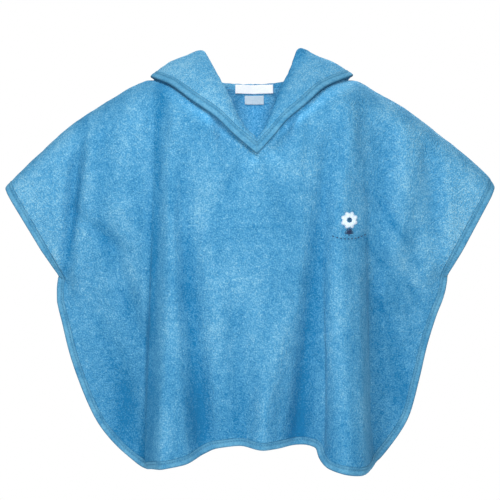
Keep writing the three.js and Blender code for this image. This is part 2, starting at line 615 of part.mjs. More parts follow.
// Neck seams: one shared normal and one shared gap for the panels and the hood.
const seamSides = { '-1': new Map(), 1: new Map(), left: new Map(), right: new Map() };
for (const side of [-1, 1]) {
  const hood = hoods[side];
  const hoodNormal = hoodNormals[side];
  for (let k = 0; k < stations.length; k += 1) {
    const inFront = k <= NECK_STEPS;
    const inBack = k >= NECK_STEPS;
    const seam = hood[k][0].clone();
    const before = hood[Math.max(0, k - 1)][0];
    const after = hood[Math.min(stations.length - 1, k + 1)][0];
    const along = after.clone().sub(before).normalize();
    if (k === NECK_STEPS) along.set(0, 1, 0);
    if (k === 0 || k === stations.length - 1) along.set(side, 0, 0);
    const up = hood[k][1].clone().sub(seam).normalize();
    const panels = [];
    if (inFront) panels.push([-1, neckColumn(-1, side, k)]);
    if (inBack) panels.push([1, neckColumn(1, side, stations.length - 1 - k)]);
    const [face, column] = panels[0];
    const body = grids[face][column];
    const away = seam.clone().sub(inFront && inBack ? body[2] : body[1]).normalize();
    if (inFront && inBack) away.y = 0;
    const way = up.clone().add(away).normalize();
    const shared = along.clone().cross(way).normalize();
    const across = shared.clone().cross(along).normalize();
    if (across.dot(way) < 0) across.negate();
    const bend = Math.max(0.7, Math.abs(across.dot(up)));
    for (const [f, i] of panels) {
      const own = f < 0 ? normals.front : normals.back;
      const rowNormal = own[i][0];
      const sign = rowNormal.dot(shared) < 0 ? -1 : 1;
      own[i][0] = shared.clone().multiplyScalar(sign / bend);
      seamSides[f].set(i, { sign, order: k });
      const y = grids[f][i][0].y;
      grids[f][i][0] = seam.clone().addScaledVector(across, -SEAM);
      if (inFront && inBack) {
        grids[f][i][0].y = y;
        own[i][0].y = 0;
      }
    }
    const hoodSign = hoodNormal[k][0].dot(shared) < 0 ? -1 : 1;
    hoodNormal[k][0] = shared.clone().multiplyScalar(hoodSign / bend);
    seamSides[side < 0 ? 'left' : 'right'].set(k, { sign: hoodSign, order: k });
    const nearShoulder = Math.max(0, 1 - Math.abs(k - NECK_STEPS) / 4);
    hood[k][0] = seam.clone().addScaledVector(across, (1 + 2 * nearShoulder) * SEAM);
  }
  // The two halves stand a seam's gap apart at the V and down the middle of the back.
  for (const [k, x] of [[0, V_X], [stations.length - 1, BACK_X]]) {
    hood[k].forEach((p, j) => {
      p.x = x + side * SEAM;
      const n = hoodNormal[k][j];
      const size = j === 0 ? n.length() : 1;
      flatWay(n, 0).multiplyScalar(size);
    });
  }
}

function hoodTape(side) {
  const hood = hoods[side];
  const own = hoodNormals[side];
  const last = HOOD_ROWS;
  return squareOff(hood.map((column, k) => ({
    edge: column[last],
    inner: column[last - 1],
    edgeNormal: own[k][last],
    innerNormal: own[k][last - 1],
    innerFirst: true,
  })), 0);
}

// A flat label on the inner face of the back panel, made from that panel's own points and
// moved inwards.  Left and right count columns from the middle of the nape, and upper and
// lower are millimetres down from the neck seam; above the seam the label stands upright.
function label(name, finish, left, right, upper, lower) {
  const grid = grids[1];
  const own = normals.back;
  const middle = neckColumn(1, 1, 0);
  const roll = LINES[V_LINE].roll;
  const stops = (from, to) => {
    const list = [from];
    for (let k = Math.ceil(from + 1e-6); k < to; k += 1) list.push(k);
    list.push(to);
    return list;
  };
  const between = (list, at) => {
    const k = Math.min(Math.floor(at), list.length - 2);
    return list[k].clone().lerp(list[k + 1], at - k);
  };
  const place = (source, i, row) => {
    const k = Math.min(Math.floor(i), source.length - 2);
    return between(source[k], row).lerp(between(source[k + 1], row), i - k);
  };
  const rowAt = (down) => (Math.acos(1 - Math.max(0, down) / roll) * 2 * TURN_ROWS) / Math.PI;
  const downs = [upper];
  for (const row of stops(rowAt(upper), rowAt(lower)).slice(1)) downs.push(turnDown(roll, row));
  if (upper < 0) downs.splice(1, 0, 0);
  const columns = stops(middle + left, middle + right);
  const outward = columns.map((i) => downs.map((down) => place(own, i, Math.max(1, rowAt(down))).normalize()));
  const inward = -(WALL / 2 + LABEL_GAP + LABEL_WALL / 2);
  const points = columns.map((i, a) => downs.map((down, b) => {
    const point = place(grid, i, rowAt(down)).addScaledVector(outward[a][b], inward);
    point.z += Math.max(0, -down);
    return point;
  }));
  return shell(name, finish, points, outward, LABEL_WALL / 2);
}

const poncho = new THREE.Group();
poncho.name = 'hooded_poncho';
poncho.add(shell('front_panel', 'terry', grids[-1], normals.front, WALL / 2, true, seamSides[-1]));
poncho.add(shell('back_panel', 'terry', grids[1], normals.back, WALL / 2, true, seamSides[1]));
poncho.add(shell('hood_left', 'terry', hoods[-1], hoodNormals[-1], WALL / 2, false, seamSides.left));
poncho.add(shell('hood_right', 'terry', hoods[1], hoodNormals[1], WALL / 2, false, seamSides.right));
poncho.add(tape('front_edge_binding', edgeStations(grids[-1], normals.front)));
poncho.add(tape('back_edge_binding', edgeStations(grids[1], normals.back)));
poncho.add(tape('hood_binding_left', hoodTape(-1)));
poncho.add(tape('hood_binding_right', hoodTape(1)));
poncho.add(label('neck_label', 'whiteLabel', -2.6, 2.8, -4.4, 6));
poncho.add(label('size_label', 'greyLabel', -1.3, 1.5, 8.2, 18.4));

export default poncho;
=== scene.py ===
"""A toddler's hooded poncho of blue terry towelling, filled out as when it is worn."""
import math

import bpy
import numpy as np
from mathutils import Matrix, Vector


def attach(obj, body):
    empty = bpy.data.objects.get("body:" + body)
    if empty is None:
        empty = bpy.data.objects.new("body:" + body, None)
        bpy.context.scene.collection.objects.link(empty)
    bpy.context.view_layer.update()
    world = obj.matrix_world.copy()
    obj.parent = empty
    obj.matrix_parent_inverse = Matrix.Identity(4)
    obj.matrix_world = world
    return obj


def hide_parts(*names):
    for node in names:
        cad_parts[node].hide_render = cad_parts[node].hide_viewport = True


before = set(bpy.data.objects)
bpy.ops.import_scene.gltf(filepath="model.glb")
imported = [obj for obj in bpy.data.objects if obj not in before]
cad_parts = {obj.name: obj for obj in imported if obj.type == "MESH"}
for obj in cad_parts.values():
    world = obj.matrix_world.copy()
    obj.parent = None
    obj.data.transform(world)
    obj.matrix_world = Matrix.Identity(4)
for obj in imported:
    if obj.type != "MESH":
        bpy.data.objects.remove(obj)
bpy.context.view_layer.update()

# The tables are in millimetres, X to the right, Z up, and the front faces -Y.
MM = 0.001

# The terry, and how far in from its edge the tape reaches, along the edge and at its ends.
CLOTH_HALF = 1.2
TAPE_WIDTH = 7.6
CORNER_WIDTH = 4.4
LABEL_GAP = 0.85

# The lines beside which the outline turns steeply, and over how many lines a depth is softened.
STEEP_FEET = (10.6, 21.2)
DEPTH_REACH = 0.9

# The painted glow that stands in for light coming through the terry, what share of it its inner side shows,
# how much paler the painted shade draws the terry for each millimetre that a fold rises, and the painted
# light on the hood's halves and painted shade along their tops.
PAINTED_GLOW_STRENGTH = 0.75
INNER_GLOW = 0.46
FOLD_PAINTED_SHADE = 0.045
HOOD_PAINTED_LIGHT = {-1: 0.24, 1: 0.12}
HOOD_CREST_SHADE = {-1: 0.05, 1: 0.55}

# How finely the pieces are divided.
TURN_ROWS = 22
BODY_ROWS = 146
TAPE_ROWS = 4
NECK_COLUMNS = 24
HOOD_COLUMNS = 120
HOOD_ROWS = 110

# The light of the white surroundings, and each lamp's place and size in metres and its watts.
ROOM_LIGHT = 0.38
LAMPS = (
    ("key lamp", (-0.5, -1.15, 0.9), 0.6, 18),
    ("front lamp", (0.2, -2.1, 0.6), 0.6, 32),
    ("back lamp", (0.6, 1.8, 1.0), 1.2, 60),
)


def table(columns, rows):
    """The rows' numbers by column name; the first word of each row says what it is."""
    return {key: np.array([row[k + 1] for row in rows], float) for k, key in enumerate(columns.split())}


# A fold runs from x1, z1 to x2, z2.  It reaches out to the left and right, and rises, or sinks
# where the rise is negative, by so much at each end.  A patch of painted shade, painted highlight or painted
# glow is stated like a fold.
FOLD_KEYS = "x1 z1 x2 z2 left right rise1 rise2"

# Painted shade where the terry is drawn darker, in hollows and creases, and painted highlight where it is
# drawn
# paler, beyond what the folds do to it: first on both sides of the poncho, then on its front.
BOTH_PAINTED_SHADE = table(FOLD_KEYS, [
    ("foot", -200, -430, 200, -430, 110, 110, -5, -5),
    ("left sleeve", -252, -126, -240, -205, 38, 34, 6.5, 7),
    ("right sleeve", 252, -110, 238, -205, 34, 34, 6, 6),
])
FRONT_PAINTED_SHADE = table(FOLD_KEYS, [
    ("left hollow foot", -66, -219, -55, -405, 13, 14, -2, -7),
    ("right hollow foot", 71, -190, 54, -400, 12, 17, -2, -10),
    ("left ridge foot", -93, -300, -96, -410, 12, 12, -1, -2),
    ("right ridge side", 131, -190, 132, -410, 11, 11, 4, 5),
    ("left flank", -150, -160, -140, -215, 14, 14, 5, 3),
    ("left flank foot", -152, -310, -128, -425, 22, 16, -3, -5),
    ("right flank", 158, -210, 168, -345, 20, 20, -3, -5),
    ("centre", -8, -290, -8, -390, 12, 12, 2, 3),
    ("shoulder crease", -103, -8, -104, -91, 5, 5, -5, -5),
    ("shoulder crease", -104, -91, -109, -186, 5, 5, -5, -4),
    ("shoulder crease", -109, -186, -117, -330, 5, 5, -4, -4),
    ("sleeve crease", -187, -50, -194, -114, 4, 4, -4, -5),
    ("sleeve crease", -194, -114, -202, -162, 4, 4, -5, -5),
    ("sleeve crease", -202, -162, -214, -206, 4, 4, -5, -4),
    ("left ridge", -93, -150, -90, -330, 7, 7, -3, -4),
    ("left sleeve top", -250, -100, -212, -66, 16, 16, 3, 5),
    ("left upper", -166, -80, -160, -185, 18, 18, -3, -3),
    ("chest crease", -2, -154, 34, -153, 2.5, 2.5, 4, 3),
    ("chest crease", -2, -159, 34, -158, 2.5, 2.5, -2.5, -2.5),
    ("flat nap", -38, -162, -36, -190, 7, 7, -5, -5),
    ("flat nap", 27, -130, 30, -142, 9, 9, -4, -4),
    ("flat nap", 48, -170, 50, -205, 12, 12, -3, -4),
    ("flat nap", -89, -122, -88, -140, 6, 6, -4, -4),
    ("raised nap", 12, -84, 48, -92, 14, 14, 3, 3),
    ("raised nap", -20, -215, 10, -250, 16, 16, 3, 2),
    ("raised nap", -64, -96, -60, -150, 9, 9, 3, 3),
    ("right ridge", 104, -215, 110, -400, 8, 8, -3, -4),
    ("left top", -143, -30, -138, -90, 12, 12, -4, -3),
    ("right top", 175, -35, 176, -165, 14, 14, -8, -7),
    ("right wrinkle", 156, -153, 183, -198, 4, 4, -3, -4),
    ("right wrinkle", 164, -209, 186, -242, 4, 4, -5, -4),
    ("right wrinkle", 147, -254, 164, -287, 4, 4, -5, -4),
    ("right wrinkle", 169, -170, 198, -209, 4, 4, -5, -3),
    ("right wrinkle", 135, -186, 160, -226, 4, 4, -5, -4),
    ("right gleam", 177, -119, 192, -153, 6, 6, 4, 3),
    ("right gleam", 172, -215, 190, -230, 5, 5, 4, 3),
    ("right side", 174, -40, 185, -210, 44, 40, 6, 5),
    ("left flank middle", -132, -240, -135, -330, 16, 16, -3, -3),
])
# Painted glow on the front under the hood's edge, standing in for what light the hood lets through into its
# shadow.
UNDER_HOOD_GLOW = table(FOLD_KEYS, [
    ("left half", -108, 2, -44, -42, 7, 7, 0.4, 0.4),
    ("left half", -44, -42, 6, -73, 7, 7, 0.4, 0.4),
    ("right half", 108, 2, 44, -42, 7, 7, 0.5, 0.6),
    ("right half", 44, -42, 14, -72, 7, 7, 0.6, 0.5),
])
# Painted glow on the back's inside seen through the neck, standing in for light from the front: strongest in
# the middle of the V, less at its sides as painted shade from the hood.
NECK_GLOW = table(FOLD_KEYS, [
    ("middle", 3, -22, 3, -70, 18, 18, 0.95, 0.8),
    ("hood's shade", 3, -22, 3, -70, 60, 60, -0.42, -0.36),
])
# The lines down a body panel, from the left sleeve to the right one: where each starts and where
# it meets the outline, how far it rolls over the shoulder, how straight it leaves the outline, and
# how far it stands off the middle plane at the chest, waist and hem, in front and at the back.
LINES = table("topX topZ footX footZ roll bend chest waist hem backChest backWaist backHem backDrop", [
    ("sleeve edge", -281, -118.7, -220.8, -219.8, 20, 0, 17, 17, 3.5, 15, 15, 3.5, 0),
    ("sleeve tape", -274.6, -111.4, -221.4, -223, 22, 7, 19, 18, 3.6, 17, 16, 3.6, 0),
    ("sleeve", -242.9, -80.9, -222.7, -234.5, 26, 27, 27, 22, 4.2, 25, 21, 4.2, 0),
    ("sleeve fold", -208.3, -50, -222.7, -246.1, 32, 36, 30, 22, 5, 29, 22, 5, 0),
    ("sleeve root", -192.2, -38.6, -221.2, -255.2, 34, 42, 33, 23, 6, 32, 23, 6, 0),
    ("under arm", -176.1, -28.4, -217.1, -271.2, 38, 46, 36, 25, 8, 35, 24, 7, 0),
    ("side", -157.8, -17, -209.3, -304.7, 42, 56, 42, 28, 8.5, 40, 28, 9, 0),
    ("side", -140.6, -6.7, -196.7, -342.7, 46, 60, 45, 28, 10, 43, 31, 12, 0),
    ("side", -126.8, -0.1, -176.1, -387.6, 48, 56, 47, 30, 12, 46, 35, 16, 0),
    ("side", -117.7, 2.6, -147.2, -420.7, 50, 48, 50, 35, 15.5, 50, 42, 24, 2),
    ("flank foot", -108.5, 2.9, -121.8, -436.7, 50, 6, 55, 48, 34, 54, 52, 44, 6),
    ("flank", -101.7, 2.9, -114.2, -429.5, 50, 4, 60, 61, 78, 57, 60, 66, 4),
    ("left ridge", -90.3, 2.9, -97.8, -422.5, 50, 20, 67, 77, 106, 60, 68, 84, 2),
    ("left ridge", -77.7, 2.9, -74.9, -418.8, 52, 30, 70, 79, 102, 62, 73, 96, 2),
    ("left hollow", -64, 2.7, -54.6, -411.1, 55, 30, 69, 76, 82, 62, 75, 92, 0),
    ("left neck point", -51.4, 2.4, -38, -405.4, 58, 30, 70, 76, 73, 62, 74, 80, 0),
    ("V edge", -22.9, -32.9, -13.4, -402.7, 60, 30, 75, 81, 77, 62, 73, 78, 0),
    ("V point", 5.4, -71, 13.2, -405.5, 60, 30, 78, 84, 85, 62, 74, 90, 0),
    ("V edge", 33.2, -32.9, 37.9, -404.3, 60, 30, 74, 79, 73, 62, 74, 84, 0),
    ("right neck point", 56, 2.4, 60.6, -403.7, 58, 30, 68, 71, 63, 62, 74, 76, 0),
    ("right hollow", 69.7, 2.7, 72.1, -405.6, 55, 18, 66, 68, 74, 61, 75, 82, -4),
    ("ridge flank", 78.8, 2.9, 75.2, -413.5, 52, 8, 66, 73, 89, 61, 74, 90, -10),
    ("right ridge", 89.1, 2.9, 83.3, -421.7, 50, 14, 68, 79, 105, 60, 73, 97, -14),
    ("right ridge", 101.6, 2.9, 101.5, -426.2, 50, 30, 66, 80, 115, 58, 70, 98, -17),
    ("ridge flank", 111.9, 2.7, 120.9, -430.3, 50, 34, 60, 70, 104, 55, 62, 86, -13),
    ("flank", 119.9, 1.8, 133.6, -430.9, 50, 14, 52, 54, 64, 51, 52, 62, -6),
    ("flank foot", 127.9, -2.2, 142.9, -428.2, 48, 24, 48, 38, 30, 47, 43, 36, 0),
    ("side", 140.5, -10.1, 161, -409.8, 46, 42, 46, 31, 15, 45, 35, 20, 0),
    ("side", 155.4, -18.1, 179.6, -379.7, 43, 56, 45, 29, 11, 43, 31, 14, 0),
    ("side", 170.4, -26.7, 191, -338.1, 40, 58, 42, 27, 9.5, 40, 28, 10, 0),
    ("under arm", 184.1, -36.4, 200, -298.9, 37, 52, 38, 26, 8.5, 37, 26, 8, 0),
    ("under arm", 196.8, -45.5, 211.4, -262.1, 34, 44, 33, 23, 7, 33, 23, 7, 0),
    ("sleeve", 212.9, -58.6, 217.8, -246.1, 31, 34, 28, 20, 5.5, 29, 21, 5.5, 0),
    ("sleeve", 238.3, -78, 221.2, -234, 27, 27, 26, 21, 4.4, 25, 20, 4.4, 0),
    ("sleeve tape", 270.6, -107.8, 222.9, -222.4, 22, 7, 19, 18, 3.6, 17, 16, 3.6, 0),
    ("sleeve edge", 276.4, -117.6, 223.1, -219.2, 20, 0, 17, 17, 3.5, 15, 15, 3.5, 0),
])
# The neck's seam on both sides, from the point of the V in front to the nape.
NECKLINE = table("leftX rightX y z", [
    ("V point", 5.4, 5.4, -73, -71),
    ("low V", -9, 18.5, -69.5, -53),
    ("mid V", -23.4, 28.5, -61, -34),
    ("high V", -37, 40, -42, -15),
    ("by the shoulder", -48.4, 52, -15, 0.6),
    ("neck point", -51.4, 56, 0, 2.4),
    ("behind the shoulder", -47, 51, 20, 0.4),
    ("side of the nape", -29, 33, 36, -3.4),
    ("nape", 1.2, 1.2, 43, -4.6),
])
# The hood from the same places of the neck: over its roll, down to where it lies on the shoulder,
# round its fold and on to its bound edge, with how far in the tape reaches there.
HOOD_KEYS = "rollX rollY rollZ lieX lieY lieZ foldX foldY foldZ faceX faceY faceZ tape"
HOOD_LEFT = table(HOOD_KEYS, [
    ("V point", 5.4, -77, -62.6, 5.4, -80.6, -64.4, 5.4, -82, -70, 5.4, -82.4, -76.6, 11),
    ("low V", -12, -74.5, -44.8, -14.6, -79, -46.4, -17, -80.8, -50.2, -19.4, -81.4, -55.4, 7.8),
    ("mid V", -25, -63, -17.4, -29.5, -70, -20.6, -34.4, -75, -28, -39.4, -78, -36.6, 8.4),
    ("high V", -37.4, -42, 5.4, -46.5, -52, 1, -56.5, -61, -9, -66, -66.5, -18.4, 8.6),
    ("by the shoulder", -49.4, -17, 26.6, -62, -26, 22.4, -77, -36, 10, -92.5, -41, 0.2, 8.6),
    ("shoulder", -56, 6, 36.6, -76, 4, 31, -95, 0, 23, -114, -4, 8.4, 8.6),
    ("behind the shoulder", -57, 33, 24, -79, 46, 10, -99, 60, -20, -112, 46, 7, 8.6),
    ("side of the nape", -37, 43, 2, -54, 68, -36, -68, 90, -104, -76, 102, -20, 8.6),
    ("nape", 1.2, 47, -0.4, 1.2, 71, -50, 1.2, 96, -172, 1.2, 112, -42, 8.6),
])
HOOD_RIGHT = table(HOOD_KEYS, [
    ("V point", 5.4, -77, -62.6, 5.4, -80.6, -64.4, 5.4, -82, -70, 5.4, -82.4, -76.6, 11),
    ("low V", 14.6, -74.5, -50.4, 17, -78.6, -51.2, 19.4, -80.4, -53.8, 22.4, -81, -58, 7.8),
    ("mid V", 24, -63, -28, 28.4, -69.6, -29.6, 32.4, -74, -34.4, 36.6, -77, -41.2, 8),
    ("high V", 32.8, -42, -6, 40, -51, -8, 49.4, -60, -14.4, 59, -65.5, -22.4, 8.4),
    ("by the shoulder", 42.6, -17, 13, 54, -26, 12, 67.6, -36, 6, 82, -43, -3, 8.6),
    ("shoulder", 54, 4, 39.6, 73, 4, 31.6, 95, 0, 22.4, 113.6, -3, 10, 8.6),
    ("behind the shoulder", 58, 31, 26, 79, 45, 12, 98, 60, -18, 111, 46, 8, 8.6),
    ("side of the nape", 40, 43, 3, 56, 68, -34, 69, 90, -100, 77, 102, -18, 8.6),
    ("nape", 1.2, 47, -0.4, 1.2, 71, -50, 1.2, 96, -172, 1.2, 112, -42, 8.6),
])
FRONT_FOLDS = table(FOLD_KEYS, [
    ("left sleeve hollow", -193, -40, -212, -206, 8, 8, -6, -9),
    ("left sleeve root ridge", -178, -60, -192, -214, 9, 9, 4, 5),
    ("left tack crease", -217, -217, -200, -195, 5, 5, -2.5, -2),
    ("left shoulder hollow", -99, -14, -115, -425, 10, 11, -7, -9),
    ("left ridge", -93, -74, -96, -397, 11, 12, 4, 6),
    ("left hollow", -80, -96, -58, -386, 11, 13, -5, -9),
    ("left inner ridge", -44, -107, -35, -352, 13, 13, 3, 3),
    ("centre hollow", -17, -262, -8, -396, 15, 15, -4, -5),
    ("centre slant", 32, -279, 8, -392, 11, 11, 4, 5),
    ("right hollow", 86, -74, 48, -398, 11, 13, -6, -9),
    ("right ridge", 97, -129, 102, -421, 11, 11, 4, 4),
    ("right ridge foot", 135, -232, 139, -408, 11, 11, -6, -6),
    ("right under-arm crease", 150, -273, 175, -345, 8, 9, -4, -4),
    ("right arm hollow", 149, -63, 144, -201, 16, 16, -6, -5),
    ("right shoulder ridge", 106, -16, 109, -63, 9, 9, 3, 3),
    ("pucker", 121, -111, 171, -160, 8, 8, -2.5, -2.5),
    ("pucker", 135, -187, 188, -242, 8, 8, -2.5, -3),
    ("pucker", 164, -245, 196, -280, 7, 7, -2, -2),
    ("right sleeve hollow", 199, -75, 214, -209, 10, 10, -4, -4),
    ("right sleeve ridge", 222, -86, 225, -189, 9, 9, 3, 2),
    ("left flank hollow", -158, -182, -129, -278, 12, 12, -4, -4),
    ("left flank hollow", -173, -273, -141, -365, 12, 12, -4, -4),
    ("left corner hollow", -144, -352, -151, -392, 10, 10, -3, -3),
    ("pucker", -199, -147, -159, -177, 8, 8, -2.5, -2.5),
    ("neck crease", -13, -92, -42, -143, 8, 8, -2, -2),
    ("neck crease", 13, -92, 40, -145, 8, 8, -2, -2),
    ("left arm ridge", -139, -33, -144, -136, 16, 16, 4, 3),
    ("right arm ridge", 178, -62, 167, -176, 14, 14, 4, 3),
])
BACK_FOLDS = table(FOLD_KEYS, [
    ("left sleeve hollow", -196, -58, -212, -200, 9, 9, -4, -4),
    ("left sleeve ridge", -180, -60, -198, -196, 9, 9, 3, 3),
    ("left shoulder hollow", -112, -60, -122, -404, 12, 12, -5, -8),
    ("left ridge", -88, -120, -86, -408, 13, 13, 3, 5),
    ("left hollow", -62, -190, -52, -410, 12, 12, -4, -7),
    ("left middle ridge", -28, -210, -24, -400, 14, 14, 3, 4),
    ("middle hollow", 4, -200, 12, -408, 13, 13, -4, -7),
    ("right middle ridge", 40, -210, 46, -400, 13, 13, 3, 5),
    ("right hollow", 64, -190, 70, -410, 12, 12, -4, -6),
    ("right ridge", 92, -120, 98, -430, 13, 13, 3, 5),
    ("right shoulder hollow", 118, -60, 132, -410, 12, 12, -5, -7),
    ("right arm hollow", 152, -70, 156, -250, 14, 14, -5, -4),
    ("left arm hollow", -150, -70, -160, -250, 14, 14, -5, -4),
    ("right sleeve hollow", 204, -74, 214, -205, 10, 10, -4, -4),
    ("pucker", -196, -150, -150, -186, 8, 8, -2.5, -2.5),
    ("pucker", 198, -150, 152, -190, 8, 8, -2.5, -2.5),
    ("left corner hollow", -150, -330, -158, -390, 10, 10, -3, -3),
    ("right corner hollow", 154, -320, 160, -384, 10, 10, -3, -3),
])

# The lines at the neck points and at the V, the stations at the nape and the shoulder, and where
# the V's point and the middle of the nape lie in X.
LEFT_NECK = 15
V_LINE = 17
RIGHT_NECK = 19
LAST_LINE = len(LINES["topX"]) - 1
NAPE = 8
SHOULDER = 5
V_X = 5.4
BACK_X = 1.2


def smooth(values, at, level_end=False):
    """Reads a table's column between its rows, without overshoot."""
    at = np.asarray(at, float)
    last = len(values) - 1
    k = np.clip(np.floor(at).astype(int), 0, last - 1)
    t = at - k
    step = np.diff(values)
    slope = np.zeros(last + 1)
    slope[0] = step[0]
    slope[-1] = 0 if level_end else step[-1]
    both = step[:-1] + step[1:]
    product = step[:-1] * step[1:]
    slope[1:-1] = np.where(product > 0, 2 * product / np.where(both == 0, 1, both), 0)
    t2 = t * t
    t3 = t2 * t
    return (
        (2 * t3 - 3 * t2 + 1) * values[k]
        + (t3 - 2 * t2 + t) * slope[k]
        + (3 * t2 - 2 * t3) * values[k + 1]
        + (t3 - t2) * slope[k + 1]
    )


def fold_rise(folds, x, z):
    """How far the folds lift the cloth at x, z."""
    total = np.zeros(np.shape(x))
    for n in range(len(folds["x1"])):
        fold = {key: values[n] for key, values in folds.items()}
        dx = fold["x2"] - fold["x1"]
        dz = fold["z2"] - fold["z1"]
        length = math.hypot(dx, dz)
        along = ((x - fold["x1"]) * dx + (z - fold["z1"]) * dz) / length**2
        across = ((x - fold["x1"]) * dz - (z - fold["z1"]) * dx) / length
        beyond = np.maximum(0, np.maximum(-along, along - 1)) * length
        taper = np.maximum(0, 1 - beyond / 45)
        side = np.where(across < 0, fold["right"], fold["left"])
        reach = np.minimum(1, np.abs(across) / (1.7 * side))
        rise = fold["rise1"] + (fold["rise2"] - fold["rise1"]) * np.clip(along, 0, 1)
        total += rise * (0.5 + 0.5 * np.cos(np.pi * reach)) * taper**2 * (3 - 2 * taper)
    return total


def lumps(points, size, seed):
    """Soft random unevenness from -1 to 1, with lumps of the given size."""
    rng = np.random.default_rng(seed)
    lattice = rng.uniform(-1, 1, (64, 64, 64))
    place = np.asarray(points) / size + 1000
    cell = np.floor(place).astype(int)
    part = place - cell
    part = part * part * (3 - 2 * part)
    total = 0
    for corner in np.ndindex(2, 2, 2):
        share = 1
        for axis in range(3):
            share = share * (part[..., axis] if corner[axis] else 1 - part[..., axis])
        i, j, k = (np.mod(cell[..., axis] + corner[axis], 64) for axis in range(3))
        total = total + share * lattice[i, j, k]
    return total


def neck_point(side, station):
    key = "leftX" if side < 0 else "rightX"
    return np.array([smooth(NECKLINE[column], station) for column in (key, "y", "z")])


def stand_off(depths, down, length, from_end):
    """How far the cloth stands off the middle plane, down a line of the given length."""
    chest, waist, hem = depths
    rows = np.array([chest, chest, waist, hem], float)
    high = length / 3
    low = length - min(high, 42 + 22 * max(0, from_end - 3))
    lower = 2 + np.minimum(1, (down - low) / (length - low))
    middle = 1 + (down - high) / (low - high)
    place = np.where(down < high, down / high, np.where(down < low, middle, lower))
    return smooth(rows, place)


def foot_point(at, front):
    drop = 0 if front else smooth(LINES["backDrop"], at)
    return np.array([smooth(LINES["footX"], at), smooth(LINES["footZ"], at) + drop])


def unit(v):
    v = np.asarray(v, float)
    return v / np.maximum(1e-9, np.linalg.norm(v, axis=-1, keepdims=True))


def foot_of(at, front):
    """The foot of a line on the outline, the way in from it, and how far in the tape reaches."""
    foot = foot_point(at, front)
    near = 0.3 + 0.8 * max(0, *(1 - abs(at - place) / 1.7 for place in STEEP_FEET))
    along = foot_point(min(LAST_LINE, at + near), front) - foot_point(max(0, at - near), front)
    inward = unit([-along[1], along[0]])
    from_end = min(at, LAST_LINE - at)
    if from_end < 1:
        end = 0 if at < 1 else LAST_LINE
        up = unit([LINES["topX"][end] - LINES["footX"][end], LINES["topZ"][end] - LINES["footZ"][end]])
        inward = unit(inward * from_end + up * (1 - from_end))
    return foot, inward, TAPE_WIDTH + (CORNER_WIDTH - TAPE_WIDTH) * max(0, 1 - from_end)


def soft_depth(key, at):
    """A depth read from a few neighbouring lines at once, because terry doesn't turn sharply."""
    reach = DEPTH_REACH * min(1, at / 4, (LAST_LINE - at) / 4)
    before, here, after = (smooth(LINES[key], at + step) for step in (-reach, 0, reach))
    return float(before + 2 * here + after) / 4


def body_line(at, face, downs=None):
    """Points down one line of a body panel; face is -1 in front and 1 at the back."""
    front = face < 0

    def value(key):
        return float(smooth(LINES[key], at))

    top = np.array([value("topX"), 0, value("topZ")])
    if LEFT_NECK <= at <= RIGHT_NECK:
        share = abs(at - V_LINE) / (V_LINE - LEFT_NECK)
        station = SHOULDER * share if front else NAPE - (NAPE - SHOULDER) * share
        top = neck_point(-1 if at < V_LINE else 1, station)
    keys = ("chest", "waist", "hem") if front else ("backChest", "backWaist", "backHem")
    depths = [soft_depth(keys[0], at), soft_depth(keys[1], at), value(keys[2])]
    foot, inward, width = foot_of(at, front)
    head = top[[0, 2]]
    seat = foot + inward * width
    lead = head + (seat - head) * 0.35
    arrive = seat + inward * value("bend")
    t = np.linspace(0, 1, 120)[:, None]
    path = (1 - t) ** 3 * head + 3 * (1 - t) ** 2 * t * lead + 3 * (1 - t) * t**2 * arrive + t**3 * seat
    run = np.concatenate([[0], np.cumsum(np.linalg.norm(np.diff(path, axis=0), axis=1))])
    length = run[-1]
    roll = value("roll")
    if downs is None:
        turn = roll * (1 - np.cos(np.linspace(0, np.pi / 2, TURN_ROWS + 1)))
        body = np.linspace(roll, length, BODY_ROWS + 1)[1:]
        edge = np.linspace(length, length + width, TAPE_ROWS + 1)[1:]
        downs = np.concatenate([turn, body, edge])
    path = np.vstack([path, foot])
    run = np.append(run, length + width)
    x = np.interp(downs, run, path[:, 0])
    z = np.interp(downs, run, path[:, 1])
    from_end = min(at, LAST_LINE - at)
    main = stand_off(depths, downs, length + width, from_end)
    start = abs(top[1])
    upright = min(1, start / 40) ** 2
    turned = np.minimum(1, downs / roll)
    rounded = np.sqrt(np.maximum(0, 1 - (1 - turned) ** 2))
    gentle = np.sin(np.pi / 2 * np.minimum(1, downs / (1.4 * roll)))
    depth = start + (main - start) * (rounded + (gentle - rounded) * upright)
    near_top = np.clip((downs - 10) / 40, 0, 1)
    near_edge = np.clip((depth - 5) / 30, 0, 1)
    from_sleeve = np.clip(from_end - 0.5, 0, 1)
    folds = FRONT_FOLDS if front else BACK_FOLDS
    depth = depth + fold_rise(folds, x, z) * near_top * near_edge * from_sleeve
    return np.stack([x, face * depth, z], axis=-1)


def body_columns():
    """Where the columns of a body panel lie along the table of lines."""
    places = []
    for k in range(LAST_LINE):
        if k in (LEFT_NECK, V_LINE):
            places.extend(k + 2 * np.arange(NECK_COLUMNS) / NECK_COLUMNS)
        if LEFT_NECK <= k < RIGHT_NECK:
            continue
        foot, top = (
            math.hypot(*(LINES[end + axis][k + 1] - LINES[end + axis][k] for axis in "XZ"))
            for end in ("foot", "top")
        )
        steps = max(3, round(max(foot, 0.7 * top) / 3.5))
        places.extend(k + np.arange(steps) / steps)
    return np.append(places, LAST_LINE)


